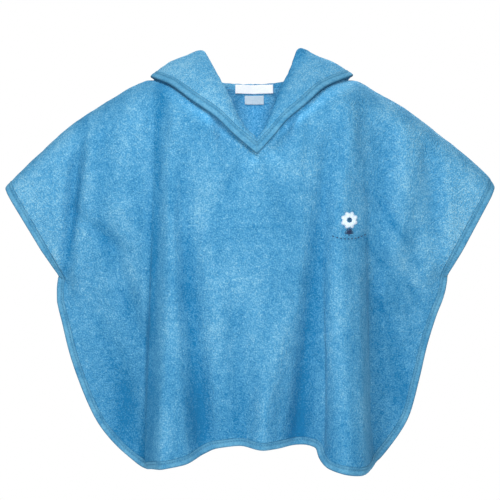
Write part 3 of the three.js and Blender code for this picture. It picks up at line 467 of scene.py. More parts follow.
def hood_curves(side, at):
    """Each station's curve from the neck seam over the roll and the fold to the face edge."""
    rows = HOOD_LEFT if side < 0 else HOOD_RIGHT
    guides = [neck_point(side, at).T]
    for place in ("roll", "lie", "fold", "face"):
        guides.append(np.stack([smooth(rows[place + axis], at, axis != "X") for axis in "XYZ"], axis=-1))
    first = 2 * guides[0] - guides[1]
    final = 2 * guides[-1] - guides[-2]
    guides = [first, *guides, final]
    dense = []
    for k in range(4):
        a, b, c, d = guides[k : k + 4]
        before, here, after = (
            np.maximum(1e-4, np.linalg.norm(q - p, axis=-1, keepdims=True)) ** 0.5
            for p, q in ((a, b), (b, c), (c, d))
        )
        slope_b = ((b - a) / before - (c - a) / (before + here) + (c - b) / here) * here
        slope_c = ((c - b) / here - (d - b) / (here + after) + (d - c) / after) * here
        for t in np.linspace(0, 1, 40, endpoint=False):
            dense.append(
                (2 * t**3 - 3 * t**2 + 1) * b
                + (t**3 - 2 * t**2 + t) * slope_b
                + (3 * t**2 - 2 * t**3) * c
                + (t**3 - t**2) * slope_c
            )
    dense.append(guides[-2])
    return np.stack(dense, axis=1)


def hood_grid(side):
    rows = HOOD_LEFT if side < 0 else HOOD_RIGHT
    at = np.linspace(0, NAPE, HOOD_COLUMNS + 1)
    curves = hood_curves(side, at)
    tapes = smooth(rows["tape"], at)
    grid = []
    for curve, tape in zip(curves, tapes):
        run = np.concatenate([[0], np.cumsum(np.linalg.norm(np.diff(curve, axis=0), axis=1))])
        tape = min(tape, run[-1] * 0.6)
        downs = np.concatenate([
            np.linspace(0, run[-1] - tape, HOOD_ROWS - TAPE_ROWS + 1),
            np.linspace(run[-1] - tape, run[-1], TAPE_ROWS + 1)[1:],
        ])
        grid.append(np.stack([np.interp(downs, run, curve[:, axis]) for axis in range(3)], axis=-1))
    return np.array(grid)


def grid_normals(grid):
    across = np.gradient(grid, axis=0)
    along = np.gradient(grid, axis=1)
    return unit(np.cross(across, along))


def mesh_piece(name, points, faces, material):
    """A finished smooth piece from points in millimetres."""
    mesh = bpy.data.meshes.new(name)
    mesh.from_pydata((np.asarray(points) * MM).tolist(), [], [list(face) for face in faces])
    mesh.validate()
    mesh.shade_smooth()
    mesh.update()
    piece = bpy.data.objects.new(name, mesh)
    bpy.context.scene.collection.objects.link(piece)
    mesh.materials.append(material)
    return piece


def signed_volume(points, faces):
    points = np.asarray(points)
    total = 0
    for face in (faces[:, :3], faces[:, [0, 2, 3]]):
        a, b, c = (points[face[:, k]] for k in range(3))
        total += np.einsum("ij,ij->i", a, np.cross(b, c)).sum()
    return total


def closed_cloth(name, grid, normals, outer, inner, material):
    """A cloth wall between the grid moved out by outer and in by inner, closed round its rim."""
    m, n = grid.shape[:2]
    top = grid + normals * outer[..., None]
    under = grid - normals * inner[..., None]
    points = np.concatenate([top.reshape(-1, 3), under.reshape(-1, 3)])
    index = np.arange(m * n).reshape(m, n)
    low = index + m * n
    upper, lower = (
        np.stack([side[:-1, :-1], side[1:, :-1], side[1:, 1:], side[:-1, 1:]], axis=-1).reshape(-1, 4)
        for side in (index, low)
    )
    lower = lower[:, [0, 3, 2, 1]]
    rims = []
    for line, flip in ((index[:, 0], True), (index[:, -1], False), (index[0], False), (index[-1], True)):
        a, b = line[:-1], line[1:]
        rim = np.stack([a, b, b + m * n, a + m * n], axis=-1)
        rims.append(rim[:, ::-1] if flip else rim)
    faces = np.concatenate([upper, lower, *rims])
    if signed_volume(points, faces) < 0:
        faces = faces[:, ::-1]
    return mesh_piece(name, points, faces.tolist(), material)


def mark(piece, name, values):
    """Keeps a number for each point of a piece, for its material to read."""
    layer = piece.data.attributes.new(name, "FLOAT", "POINT")
    layer.data.foreach_set("value", np.asarray(values, np.float32).ravel())


def body_panel(face, material):
    """A body panel's middle surface and its finished cloth."""
    columns = body_columns()
    grid = np.array([body_line(at, face) for at in columns])
    normals = grid_normals(grid) * face
    for i in range(len(columns)):
        if not LEFT_NECK < columns[i] < RIGHT_NECK:
            normals[i, 0, 1] = 0
    normals = unit(normals)
    nap = 0.3 * lumps(grid, 5.2, 3) + 0.25 * lumps(grid, 11, 4)
    back_nap = 0.3 * lumps(grid, 5.2, 5) + 0.25 * lumps(grid, 11, 6)
    outer = CLOTH_HALF + 0.3 + nap
    inner = CLOTH_HALF + 0.1 + back_nap
    under_tape = np.zeros(grid.shape[:2], bool)
    under_tape[:, -TAPE_ROWS:] = True
    under_tape[(columns < 0.98) | (columns > LAST_LINE - 0.98)] = True
    outer[under_tape] = 0.7
    inner[under_tape] = 0.7
    neck = (columns >= LEFT_NECK) & (columns <= RIGHT_NECK)
    outer[neck, 0] = 0.5
    inner[neck, 0] = 0.5
    name = "front_cloth" if face < 0 else "back_cloth"
    piece = closed_cloth(name, grid, normals, outer, inner, material)
    folds = FRONT_FOLDS if face < 0 else BACK_FOLDS
    # Painted shade and painted highlight, kept as lie: the terry is drawn darker where the folds and painted
    # patches sink and paler where they rise.
    lie = sum(fold_rise(rows, grid[..., 0], grid[..., 2]) for rows in (folds, BOTH_PAINTED_SHADE))
    if face < 0:
        lie = lie + fold_rise(FRONT_PAINTED_SHADE, grid[..., 0], grid[..., 2])
    lie = lie * FOLD_PAINTED_SHADE
    mark(piece, "lie", [lie, lie])
    # Painted glow for each point: on the front's outer side under the hood's edge, and on every inner side,
    # more in the middle of the V at the back and less towards its sides.
    glow_under_hood = np.zeros_like(lie)
    glow = np.full_like(lie, INNER_GLOW)
    if face < 0:
        glow_under_hood = fold_rise(UNDER_HOOD_GLOW, grid[..., 0], grid[..., 2])
    else:
        glow = glow + fold_rise(NECK_GLOW, grid[..., 0], grid[..., 2])
    mark(piece, "painted_glow_share", [glow_under_hood, glow])
    return columns, grid, normals, piece


def hood_half(side, material):
    grid = hood_grid(side)
    normals = grid_normals(grid) * -side
    for k in (0, -1):
        normals[k, :, 0] = 0
    normals = unit(normals)
    grid[0, :, 0] = V_X + side * 0.05
    grid[-1, :, 0] = BACK_X + side * 0.05
    nap = 0.3 * lumps(grid, 5.2, 7) + 0.25 * lumps(grid, 11, 8)
    outer = CLOTH_HALF + 0.2 + nap
    inner = CLOTH_HALF + 0.2 - nap
    outer[:, -TAPE_ROWS:] = 0.7
    inner[:, -TAPE_ROWS:] = 0.7
    outer[:, 0] = 0.5
    inner[:, 0] = 0.5
    outer[-1] = 1.25
    inner[-1] = 1.25
    name = "hood_cloth_left" if side < 0 else "hood_cloth_right"
    piece = closed_cloth(name, grid, normals, outer, inner, material)
    # Painted light on each hood half and painted shade along the crest of its roll, kept as lie, in front
    # only; and painted glow on its inner side in front.
    crest = grid[..., 2].argmax(axis=1)[:, None]
    from_crest = (np.arange(grid.shape[1]) - crest) / 15
    lie = HOOD_PAINTED_LIGHT[side] - HOOD_CREST_SHADE[side] * np.exp(-from_crest**2)
    in_front = np.clip((75 - grid[..., 1]) / 45, 0, 1)
    mark(piece, "lie", [lie * in_front] * 2)
    mark(piece, "painted_glow_share", [0 * in_front, INNER_GLOW * in_front])
    return grid, normals, piece


# The tape's section: how far out from its inner edge, how far past the cloth's edge, the
# height over the middle of the cloth, and how deep in shade its weave lies there.
TAPE_FACE = table("share past height shade", [
    ("inner edge", 0.0, 0, 1.0, 1.0),
    ("inner edge", 0.0, 0, 1.6, 0.9),
    ("inner ridge", 0.1, 0, 1.95, 0.15),
    ("inner ridge", 0.24, 0, 1.95, 0.1),
    ("stitches", 0.38, 0, 1.6, 0.75),
    ("outer ridge", 0.54, 0, 2.0, 0.05),
    ("outer ridge", 0.78, 0, 2.1, 0.0),
    ("edge", 1.0, 0, 1.85, 0.1),
    ("edge", 1.0, 0.8, 1.55, 0.45),
    ("edge", 1.0, 1.4, 0.95, 0.8),
    ("edge", 1.0, 1.6, 0.3, 0.9),
])
STITCH_SHARE = 0.38
STITCH_HEIGHT = 1.72


def squared_off(stations, end_axis):
    """The way that the tape leaves the cloth's edge at each station, square to the edge."""
    edge, inner = stations["edge"], stations["inner"]
    along = unit(np.concatenate([edge[1:2] - edge[:1], edge[2:] - edge[:-2], edge[-1:] - edge[-2:-1]]))
    way = edge - inner
    way = way - along * np.sum(way * along, axis=1, keepdims=True)
    way[0, end_axis] = 0
    way[-1, end_axis] = 0
    stations["way"] = unit(way)
    return stations


def panel_stations(columns, grid, normals):
    """The cloth's edge down one sleeve, along the foot and up the other sleeve."""
    m, n = grid.shape[0] - 1, grid.shape[1] - 1
    seat = n - TAPE_ROWS
    left = int(np.argmin(abs(columns - 1)))
    right = int(np.argmin(abs(columns - (LAST_LINE - 1))))
    places = [((0, j), (left, j)) for j in range(seat)]
    places += [((0, j), (left, seat)) for j in range(seat, n)]
    places += [((i, n), (min(max(i, left), right), seat)) for i in range(m + 1)]
    places += [((m, j), (right, seat)) for j in range(n - 1, seat - 1, -1)]
    places += [((m, j), (right, j)) for j in range(seat - 1, -1, -1)]
    kept = [places[0]]
    for place in places[1:-1]:
        if np.linalg.norm(grid[place[0]] - grid[kept[-1][0]]) > 1.2:
            kept.append(place)
    kept.append(places[-1])
    stations = {
        "edge": np.array([grid[edge] for edge, _ in kept]),
        "inner": np.array([grid[inner] for _, inner in kept]),
        "edge_normal": np.array([normals[edge] for edge, _ in kept]),
        "inner_normal": np.array([normals[inner] for _, inner in kept]),
    }
    for k in (0, -1):
        for key in ("edge_normal", "inner_normal"):
            stations[key][k, 1] = 0
            stations[key][k] = unit(stations[key][k])
    return squared_off(stations, 1)


def hood_stations(grid, normals):
    seat = grid.shape[1] - 1 - TAPE_ROWS
    stations = {
        "edge": grid[:, -1],
        "inner": grid[:, seat],
        "edge_normal": normals[:, -1],
        "inner_normal": normals[:, seat],
    }
    return squared_off(stations, 0)


def on_tape(stations, share, past, height):
    """A line along the tape, in millimetres."""
    base = stations["inner"] + (stations["edge"] - stations["inner"]) * share
    normal = unit(stations["inner_normal"] * (1 - share) + stations["edge_normal"] * share)
    return base + normal * height + stations["way"] * past


def tape_piece(name, stations, material):
    lines = []
    faces = list(zip(TAPE_FACE["share"], TAPE_FACE["past"], TAPE_FACE["height"]))
    for share, past, height in faces:
        lines.append(on_tape(stations, share, past, height))
    for share, past, height in reversed(faces):
        lines.append(on_tape(stations, share, past, -height))
    for share, past, height in ((1, 0.3, -0.85), (1, 0.7, 0), (1, 0.3, 0.85)):
        lines.append(on_tape(stations, share, past, height))
    shades = [*TAPE_FACE["shade"], *TAPE_FACE["shade"][::-1], 1, 1, 1]
    rings = np.stack(lines, axis=1)
    pucker = lumps(rings, 2.6, 11) * 0.12
    rings = rings + stations["edge_normal"][:, None] * pucker[..., None]
    m, n = rings.shape[:2]
    points = rings.reshape(-1, 3)
    index = np.arange(m * n).reshape(m, n)
    turned = np.roll(index, -1, axis=1)
    faces = np.stack([index[:-1], index[1:], turned[1:], turned[:-1]], axis=-1).reshape(-1, 4)
    if signed_volume(points, faces) < 0:
        faces = faces[:, ::-1]
        caps = [index[0].tolist(), index[-1][::-1].tolist()]
    else:
        caps = [index[0][::-1].tolist(), index[-1].tolist()]
    piece = mesh_piece(name, points, faces.tolist() + caps, material)
    mark(piece, "shade", np.tile(shades, m))
    return piece


def stitch_tree():
    """Stitches laid end to end along a line."""
    tree = bpy.data.node_groups.new("Row of stitches", "GeometryNodeTree")
    sockets = tree.interface
    sockets.new_socket("Line", in_out="INPUT", socket_type="NodeSocketGeometry")
    sockets.new_socket("Spacing", in_out="INPUT", socket_type="NodeSocketFloat")
    sockets.new_socket("Stitch size", in_out="INPUT", socket_type="NodeSocketVector")
    sockets.new_socket("Thread", in_out="INPUT", socket_type="NodeSocketMaterial")
    sockets.new_socket("Stitches", in_out="OUTPUT", socket_type="NodeSocketGeometry")
    nodes, links = tree.nodes, tree.links
    start = nodes.new("NodeGroupInput")
    end = nodes.new("NodeGroupOutput")
    line = nodes.new("GeometryNodeMeshToCurve")
    spots = nodes.new("GeometryNodeCurveToPoints")
    spots.mode = "LENGTH"
    stitch = nodes.new("GeometryNodeMeshUVSphere")
    stitch.inputs["Segments"].default_value = 6
    stitch.inputs["Rings"].default_value = 4
    stitch.inputs["Radius"].default_value = 0.5
    placed = nodes.new("GeometryNodeInstanceOnPoints")
    real = nodes.new("GeometryNodeRealizeInstances")
    coloured = nodes.new("GeometryNodeSetMaterial")
    links.new(start.outputs["Line"], line.inputs["Mesh"])
    links.new(line.outputs["Curve"], spots.inputs["Curve"])
    links.new(start.outputs["Spacing"], spots.inputs["Length"])
    links.new(spots.outputs["Points"], placed.inputs["Points"])
    links.new(spots.outputs["Rotation"], placed.inputs["Rotation"])
    links.new(stitch.outputs["Mesh"], placed.inputs["Instance"])
    links.new(start.outputs["Stitch size"], placed.inputs["Scale"])
    links.new(placed.outputs["Instances"], real.inputs["Geometry"])
    links.new(real.outputs["Geometry"], coloured.inputs["Geometry"])
    links.new(start.outputs["Thread"], coloured.inputs["Material"])
    links.new(coloured.outputs["Geometry"], end.inputs["Stitches"])
    return tree


def stitch_rows(name, lines, tree, material, spacing=3.0, size=(0.55, 0.55, 2.5)):
    """Rows of stitches along lines of points in millimetres, as one piece."""
    points, edges = [], []
    for line in lines:
        first = len(points)
        points.extend((np.asarray(line) * MM).tolist())
        edges.extend((first + k, first + k + 1) for k in range(len(line) - 1))
    mesh = bpy.data.meshes.new(name)
    mesh.from_pydata(points, edges, [])
    piece = bpy.data.objects.new(name, mesh)
    bpy.context.scene.collection.objects.link(piece)
    modifier = piece.modifiers.new("Stitches", "NODES")
    modifier.node_group = tree
    values = {"Spacing": spacing * MM, "Stitch size": [s * MM for s in size], "Thread": material}
    for socket in tree.interface.items_tree:
        if socket.name in values:
            modifier[socket.identifier] = values[socket.name]
    finished = bpy.data.meshes.new_from_object(piece.evaluated_get(bpy.context.evaluated_depsgraph_get()))
    piece.modifiers.clear()
    piece.data = finished
    finished.shade_smooth()
    return piece


# The chest flower, in millimetres from its middle: where each satin stitch starts and ends.
FLOWER_MIDDLE = (107, -152)
PETALS = 8
PETAL_STITCHES = 6
THREAD_HEIGHT = 2.1


def petal_stitches():
    """White satin stitches, side by side along each petal."""
    stitches = []
    for petal in range(PETALS):
        turn = math.tau * (petal + 0.5) / PETALS
        out = np.array([math.cos(turn), math.sin(turn)])
        side = np.array([-math.sin(turn), math.cos(turn)])
        for share in np.linspace(-1, 1, PETAL_STITCHES):
            foot = out * (2.6 + 0.5 * abs(share)) + side * share * 1.2
            tip = out * (9.9 - 2.5 * share**2) + side * share * 2.8
            stitches.append((foot, tip))
    return stitches


def stem_stitches():
    """Navy stitches: the knots in the middle, the stem with two leaves, and a curved row under them."""
    knots = [np.array([math.cos(turn), math.sin(turn)]) * 1.6 for turn in math.tau * np.arange(6) / 6]
    stitches = [(knot, knot + 0.5) for knot in [np.zeros(2), *knots]]
    stem = [np.array([-0.03 * down**1.5, -9.5 - down]) for down in range(0, 9, 2)]
    stitches.extend(zip(stem[:-1], stem[1:]))
    for side in (-1, 1):
        for row in range(4):
            start = np.array([-0.4, -15.5 + row * 0.8])
            stitches.append((start, start + np.array([side * (5.2 - row * 0.9), 1.2 + row * 0.9])))
    for place in np.linspace(-17, 17, 10):
        start = np.array([place, -21 + 0.012 * place**2])
        stitches.append((start, start + np.array([1.9, 0.024 * place * 1.9])))
    return stitches


def place_on(grid, normals, x, z):
    """The point of a cloth's middle surface at x, z, and the way out of it."""
    near = (grid[..., 0] - x) ** 2 + (grid[..., 2] - z) ** 2
    i, j = np.unravel_index(np.argmin(near), near.shape)
    across = (grid[i + 1, j] - grid[i - 1, j]) / 2
    down = (grid[i, j + 1] - grid[i, j - 1]) / 2
    rest = [x - grid[i, j, 0], z - grid[i, j, 2]]
    u, v = np.linalg.solve([[across[0], down[0]], [across[2], down[2]]], rest)
    return grid[i, j] + u * across + v * down, normals[i, j]


def thread_piece(name, stitches, middle, grid, normals, radius, material):
    """Embroidery: each stitch is a strand that lies on the cloth, with rounded ends."""
    sides = 8
    rings = 5
    ball = [(0, 0, 1)]
    for slant in np.pi * np.arange(1, rings + 1) / (rings + 1):
        for turn in math.tau * np.arange(sides) / sides:
            ball.append((math.sin(slant) * math.cos(turn), math.sin(slant) * math.sin(turn), math.cos(slant)))
    ball = np.array([*ball, (0, 0, -1)])
    last_ring = 1 + (rings - 1) * sides
    ball_faces = [(0, 1 + k, 1 + (k + 1) % sides) for k in range(sides)]
    for ring in range(1, last_ring, sides):
        for k in range(sides):
            a = ring + k
            b = ring + (k + 1) % sides
            ball_faces.append((a, a + sides, b + sides, b))
    ball_faces += [(len(ball) - 1, last_ring + (k + 1) % sides, last_ring + k) for k in range(sides)]
    points, faces = [], []
    for start, end in stitches:
        a, out = place_on(grid, normals, middle[0] + start[0], middle[1] + start[1])
        b, _ = place_on(grid, normals, middle[0] + end[0], middle[1] + end[1])
        along = unit(b - a)
        side = unit(np.cross(out, along))
        reach = np.linalg.norm(b - a) / 2 + radius * 0.5
        centre = (a + b) / 2 + out * THREAD_HEIGHT
        first = len(points)
        strand = ball[:, :1] * side * radius + ball[:, 1:2] * out * radius + ball[:, 2:] * along * reach
        points.extend(centre + strand)
        faces.extend(tuple(first + k for k in face) for face in ball_faces)
    return mesh_piece(name, points, faces, material)


def group_tree(name, inputs, outputs):
    """A new shader node group with its named sockets."""
    tree = bpy.data.node_groups.new(name, "ShaderNodeTree")
    for label, kind, value in inputs:
        socket = tree.interface.new_socket(label, in_out="INPUT", socket_type=kind)
        socket.default_value = value
    for label, kind in outputs:
        tree.interface.new_socket(label, in_out="OUTPUT", socket_type=kind)
    return tree


class Wiring:
    """Short calls for adding and joining nodes in one tree."""

    def __init__(self, tree):
        self.tree = tree

    def put(self, socket, value):
        if isinstance(value, bpy.types.NodeSocket):
            self.tree.links.new(value, socket)
        else:
            socket.default_value = value

    def node(self, kind, settings=(), **values):
        node = self.tree.nodes.new(kind)
        for key, value in dict(settings).items():
            setattr(node, key, value)
        for key, value in values.items():
            self.put(node.inputs[key.replace("_", " ")], value)
        return node

    def math(self, operation, a, b=0.0, clamp=False):
        node = self.node("ShaderNodeMath", {"operation": operation, "use_clamp": clamp})
        self.put(node.inputs[0], a)
        self.put(node.inputs[1], b)
        return node.outputs[0]

    def span(self, value, low, high, to_low=0.0, to_high=1.0):
        node = self.node("ShaderNodeMapRange", {"clamp": True})
        items = {"Value": value, "From Min": low, "From Max": high, "To Min": to_low, "To Max": to_high}
        for key, item in items.items():
            self.put(node.inputs[key], item)
        return node.outputs["Result"]

    def mix(self, share, a, b, blend="MIX"):
        node = self.node("ShaderNodeMix", {"data_type": "RGBA", "blend_type": blend})
        self.put(node.inputs[0], share)
        self.put(node.inputs[6], a)
        self.put(node.inputs[7], b)
        return node.outputs[2]

    def noise(self, place, scale, detail, roughness):
        node = self.node("ShaderNodeTexNoise", Vector=place, Scale=scale, Detail=detail, Roughness=roughness)
        return node.outputs["Fac"]

    def kept(self, name):
        """The number that a piece keeps under this name for each of its points."""
        return self.node("ShaderNodeAttribute", {"attribute_name": name}).outputs["Fac"]


COLOUR = "NodeSocketColor"
NUMBER = "NodeSocketFloat"
PLACE = "NodeSocketVector"


def loop_pile_group():
    """Terry loops: a colour that goes from between the loops to their tops, made darker or paler by painted
    shade, and a height.
    """
    tree = group_tree(
        "Loop pile",
        [
            ("Place", PLACE, (0, 0, 0)),
            ("Deep", COLOUR, (0, 0, 0, 1)),
            ("Middle", COLOUR, (0, 0, 0, 1)),
            ("Light", COLOUR, (0, 0, 0, 1)),
            ("Loop size", NUMBER, 0.0017),
            ("Lie", NUMBER, 0.0),
        ],
        [("Colour", COLOUR), ("Height", NUMBER)],
    )
    w = Wiring(tree)
    start = w.node("NodeGroupInput").outputs
    end = w.node("NodeGroupOutput")
    place = start["Place"]
    rate = w.math("DIVIDE", 1.0, start["Loop size"])
    cells = w.node("ShaderNodeTexVoronoi", {"feature": "F1"}, Vector=place, Scale=rate, Randomness=1.0)
    loops = w.span(cells.outputs["Distance"], 0.1, 0.75, 1.0, 0.0)
    curl = w.noise(place, w.math("MULTIPLY", rate, 1.3), 2.0, 0.7)
    height = w.math("ADD", w.math("MULTIPLY", loops, 0.6), w.math("MULTIPLY", curl, 0.8))
    tall = w.node("ShaderNodeVectorMath", {"operation": "MULTIPLY"})
    w.put(tall.inputs[0], place)
    tall.inputs[1].default_value = (1, 1, 0.6)
    cloud = w.noise(tall.outputs["Vector"], 26.0, 3.0, 0.55)
    patch = w.noise(place, 130.0, 3.0, 0.65)
    speck = w.noise(place, w.math("MULTIPLY", rate, 0.8), 1.0, 0.5)
    brushed = w.math("ADD", w.math("MULTIPLY", cloud, 0.5), w.math("MULTIPLY", patch, 0.5))
    tops = w.math("MULTIPLY", w.math("SUBTRACT", height, 0.7), 1.2)
    shade = w.math("ADD", w.span(brushed, 0.25, 0.75), tops)
    shade = w.math("ADD", shade, w.math("MULTIPLY", w.span(speck, 0.56, 0.74), 0.36))
    # The painted shade and painted highlight that a piece keeps for each point, added to the tone.
    shade = w.math("ADD", shade, start["Lie"])
    low = w.mix(w.span(shade, -0.3, 0.55), start["Deep"], start["Middle"])
    colour = w.mix(w.span(shade, 0.55, 1.4), low, start["Light"])
    w.put(end.inputs["Colour"], colour)
    w.put(end.inputs["Height"], height)
    return tree


def tape_weave_group():
    """A fine plain weave with soft unevenness."""
    tree = group_tree(
        "Tape weave",
        [("Place", PLACE, (0, 0, 0)), ("Dark", COLOUR, (0, 0, 0, 1)), ("Light", COLOUR, (0, 0, 0, 1))],
        [("Colour", COLOUR), ("Height", NUMBER)],
    )
    w = Wiring(tree)
    start = w.node("NodeGroupInput").outputs
    end = w.node("NodeGroupOutput")
    place = start["Place"]
    waves = []
    for direction in ("X", "Z"):
        bands = {"bands_direction": direction}
        wave = w.node("ShaderNodeTexWave", bands, Vector=place, Scale=560.0, Distortion=1.5)
        waves.append(wave.outputs["Fac"])
    weave = w.math("MULTIPLY", waves[0], waves[1])
    cloud = w.noise(place, 60.0, 3.0, 0.6)
    grain = w.noise(place, 520.0, 2.0, 0.6)
    shade = w.math("ADD", w.math("MULTIPLY", cloud, 0.5), w.math("MULTIPLY", grain, 0.5))
    w.put(end.inputs["Colour"], w.mix(w.span(shade, 0.38, 0.62), start["Dark"], start["Light"]))
    height = w.math("ADD", w.math("MULTIPLY", weave, 0.5), w.math("MULTIPLY", grain, 0.5))
    w.put(end.inputs["Height"], height)
    return tree


def surface(name, roughness, sheen, sheen_tint, gloss):
    """A material with its Principled shader, and the wiring to finish it."""
    material = bpy.data.materials.new(name)
    material.use_nodes = True
    w = Wiring(material.node_tree)
    shader = material.node_tree.nodes["Principled BSDF"]
    shader.inputs["Roughness"].default_value = roughness
    shader.inputs["Specular IOR Level"].default_value = gloss
    shader.inputs["Sheen Weight"].default_value = sheen
    shader.inputs["Sheen Roughness"].default_value = 0.5
    shader.inputs["Sheen Tint"].default_value = (*sheen_tint, 1)
    place = w.node("ShaderNodeTexCoord").outputs["Object"]
    return material, w, shader, place


def cloth_look(name, group, colours, roughness, sheen, bump, gloss=0.03, glow_strength=0.0):
    """Cloth in a group's colours.

    It gives off a painted glow that stands in for light coming through: terry on the points marked with a
    painted glow share, and tape all over, in the colour left by its painted shade.
    """
    material, w, shader, place = surface(name, roughness, sheen, (0.3, 0.68, 1.0), gloss)
    pattern = w.node("ShaderNodeGroup", {"node_tree": group})
    w.put(pattern.inputs["Place"], place)
    for key, colour in colours.items():
        pattern.inputs[key].default_value = (*colour, 1)
    colour = pattern.outputs["Colour"]
    if "Lie" in pattern.inputs:
        # The painted shade and painted highlight that each point keeps as lie.
        w.put(pattern.inputs["Lie"], w.kept("lie"))
        glow = w.mix(w.kept("painted_glow_share"), (0, 0, 0, 1), colour)
    else:
        deep = (*(0.5 * part for part in colours["Dark"]), 1)
        colour = w.mix(w.kept("shade"), colour, deep)
        glow = colour
    w.put(shader.inputs["Emission Color"], glow)
    w.put(shader.inputs["Base Color"], colour)
    shader.inputs["Emission Strength"].default_value = glow_strength
    relief = w.node("ShaderNodeBump", Strength=bump[0], Distance=bump[1], Height=pattern.outputs["Height"])
    w.put(shader.inputs["Normal"], relief.outputs["Normal"])
    return material


def set_camera():
    """The photograph's view: from the front, a little above, two metres away."""
    target = Vector((-2.3 * MM, 0, -190 * MM))
    rise = math.radians(4)
    camera = bpy.data.objects.new("camera", bpy.data.cameras.new("camera"))
    camera.data.lens = 125.2
    camera.location = target + 2.0 * Vector((0, -math.cos(rise), math.sin(rise)))
    camera.rotation_euler = (target - camera.location).to_track_quat("-Z", "Y").to_euler()
    bpy.context.scene.collection.objects.link(camera)
    bpy.context.scene.camera = camera


def set_light():
    """White surroundings, and soft lamps above the front."""
    scene = bpy.context.scene
    scene.view_settings.view_transform = "Standard"
    world = bpy.data.worlds.new("white room")
    world.use_nodes = True
    w = Wiring(world.node_tree)
    seen = w.node("ShaderNodeLightPath").outputs["Is Camera Ray"]
    room = world.node_tree.nodes["Background"]
    room.inputs["Color"].default_value = (1, 1, 1, 1)
    w.put(room.inputs["Strength"], w.span(seen, 0, 1, ROOM_LIGHT, 1.0))
    scene.world = world
    for name, place, size, power in LAMPS:
        data = bpy.data.lights.new(name, "AREA")
        data.shape = "DISK"
        data.size = size
        data.energy = power
        lamp = bpy.data.objects.new(name, data)
        lamp.location = place
        lamp.rotation_euler = (Vector((0, 0, -0.2)) - lamp.location).to_track_quat("-Z", "Y").to_euler()
        scene.collection.objects.link(lamp)


def set_floor():
    """A pale floor, well under the garment, which hangs from its wearer's shoulders."""
    half, drop = 1.8, -1.0
    mesh = bpy.data.meshes.new("floor")
    corners = [(-half, -half, drop), (half, -half, drop), (half, half, drop), (-half, half, drop)]
    mesh.from_pydata(corners, [], [(0, 1, 2, 3)])
    floor = bpy.data.objects.new("floor", mesh)
    material = bpy.data.materials.new("pale floor")
    material.use_nodes = True
    shader = material.node_tree.nodes["Principled BSDF"]
    shader.inputs["Base Color"].default_value = (0.93, 0.93, 0.93, 1)
    shader.inputs["Roughness"].default_value = 0.9
    shader.inputs["Emission Color"].default_value = (1, 1, 1, 1)
    shader.inputs["Emission Strength"].default_value = 0.4
    mesh.materials.append(material)
    bpy.context.scene.collection.objects.link(floor)


set_camera()
set_light()
set_floor()

loop_pile = loop_pile_group()
tape_weave = tape_weave_group()
terry = cloth_look(
    "terry towelling",
    loop_pile,
    {"Deep": (0.01, 0.135, 0.3), "Middle": (0.07, 0.262, 0.447), "Light": (0.24, 0.468, 0.6)},
    0.95,
    0.1,
    (0.9, 0.0012),
    glow_strength=PAINTED_GLOW_STRENGTH,
)
# The tape gives off a faint painted glow all over, which lightens its shaded underside.
tape_look = cloth_look(
    "woven tape",
    tape_weave,
    {"Dark": (0.036, 0.172, 0.318), "Light": (0.105, 0.29, 0.432)},
    0.9,
    0.06,
    (0.6, 0.0005),
    glow_strength=0.11,
)


def plain_look(name, roughness, sheen, dark, light):
    """Fine thread or a label, with hardly any relief."""
    return cloth_look(name, tape_weave, {"Dark": dark, "Light": light}, roughness, sheen, (0.3, 0.0001))


thread_look = plain_look("sewing thread", 0.6, 0.1, (0.07, 0.27, 0.45), (0.1, 0.31, 0.49))
white_look = plain_look("white satin label", 0.5, 0.1, (0.66, 0.67, 0.69), (0.74, 0.74, 0.76))
grey_look = plain_look("pale grey label", 0.6, 0.1, (0.42, 0.52, 0.58), (0.52, 0.6, 0.66))
navy_look = plain_look("navy thread", 0.5, 0.1, (0.02, 0.03, 0.075), (0.035, 0.05, 0.11))
silk_look = plain_look("white thread", 0.5, 0.1, (0.52, 0.62, 0.72), (0.66, 0.74, 0.82))


def trimmed(cloth, stations, tape_name, stitches_name):
    """The cloth with the tape round its edge and a row of stitches on each side of the tape."""
    rows = [on_tape(stations, STITCH_SHARE, 0, height) for height in (STITCH_HEIGHT, -STITCH_HEIGHT)]
    return {
        "cloth": cloth,
        "tape": tape_piece(tape_name, stations, tape_look),
        "stitches": stitch_rows(stitches_name, rows, stitches, thread_look),
    }


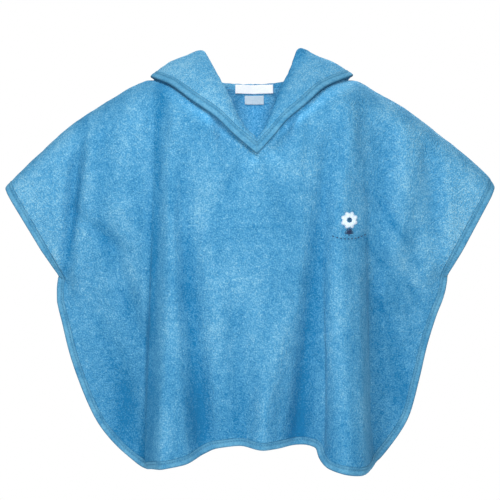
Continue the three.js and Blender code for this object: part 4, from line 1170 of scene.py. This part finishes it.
stitches = stitch_tree()
pieces = {}
for face, word in ((-1, "front"), (1, "back")):
    columns, grid, normals, cloth = body_panel(face, terry)
    stations = panel_stations(columns, grid, normals)
    if face < 0:
        sewn_on = (FLOWER_MIDDLE, grid, normals)
        petals = thread_piece("flower_petals", petal_stitches(), *sewn_on, 0.55, silk_look)
        stem = thread_piece("flower_stem", stem_stitches(), *sewn_on, 0.5, navy_look)
    pieces[word] = trimmed(cloth, stations, word + "_edge_tape", word + "_edge_stitches")
for side, word in ((-1, "left"), (1, "right")):
    grid, normals, cloth = hood_half(side, terry)
    stations = hood_stations(grid, normals)
    pieces[word] = trimmed(cloth, stations, "hood_tape_" + word, "hood_stitches_" + word)


def label(name, left, right, upper, lower, lean, material, node):
    """A flat label inside the back of the neck, whose lower edge follows the wall by the share lean."""
    places = V_LINE + np.linspace(left, right, 28) / 6
    downs = np.linspace(upper, lower, 14)
    hung = max(upper, 0)
    grid = np.array([body_line(at, 1, np.maximum(downs, hung)) for at in places])
    wall = np.linspace(hung + 2, hung + 14, 14)
    inward = -grid_normals(np.array([body_line(at, 1, wall) for at in places]))
    inward[:, :, 2] *= lean
    inward = unit(inward)
    top = grid[:, :1]
    grid[:, :, :2] = top[:, :, :2] + (grid[:, :, :2] - top[:, :, :2]) * lean
    grid[:, :, 2] = top[:, :, 2] - (downs - hung)
    grid = grid + inward * (CLOTH_HALF + LABEL_GAP)
    half = np.full(grid.shape[:2], 0.3)
    half[[0, -1]] = 0.15
    half[:, [0, -1]] = 0.15
    piece = closed_cloth(name, grid, inward, half, half, material)
    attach(piece, "root")
    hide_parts(node)
    return piece


neck_tag = label("neck_tag", -2.6, 2.8, -4.4, 6, 0.1, white_look, "neck_label")
size_tag = label("size_tag", -1.3, 1.5, 7.6, 18, 0.7, grey_look, "size_label")
for thread in (petals, stem):
    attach(thread, "root")

NODES = {
    "front": ("front_panel", "front_edge_binding"),
    "back": ("back_panel", "back_edge_binding"),
    "left": ("hood_left", "hood_binding_left"),
    "right": ("hood_right", "hood_binding_right"),
}
for word, (cloth_node, tape_node) in NODES.items():
    made = pieces[word]
    for piece in made.values():
        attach(piece, "root")
    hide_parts(cloth_node)
    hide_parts(tape_node)
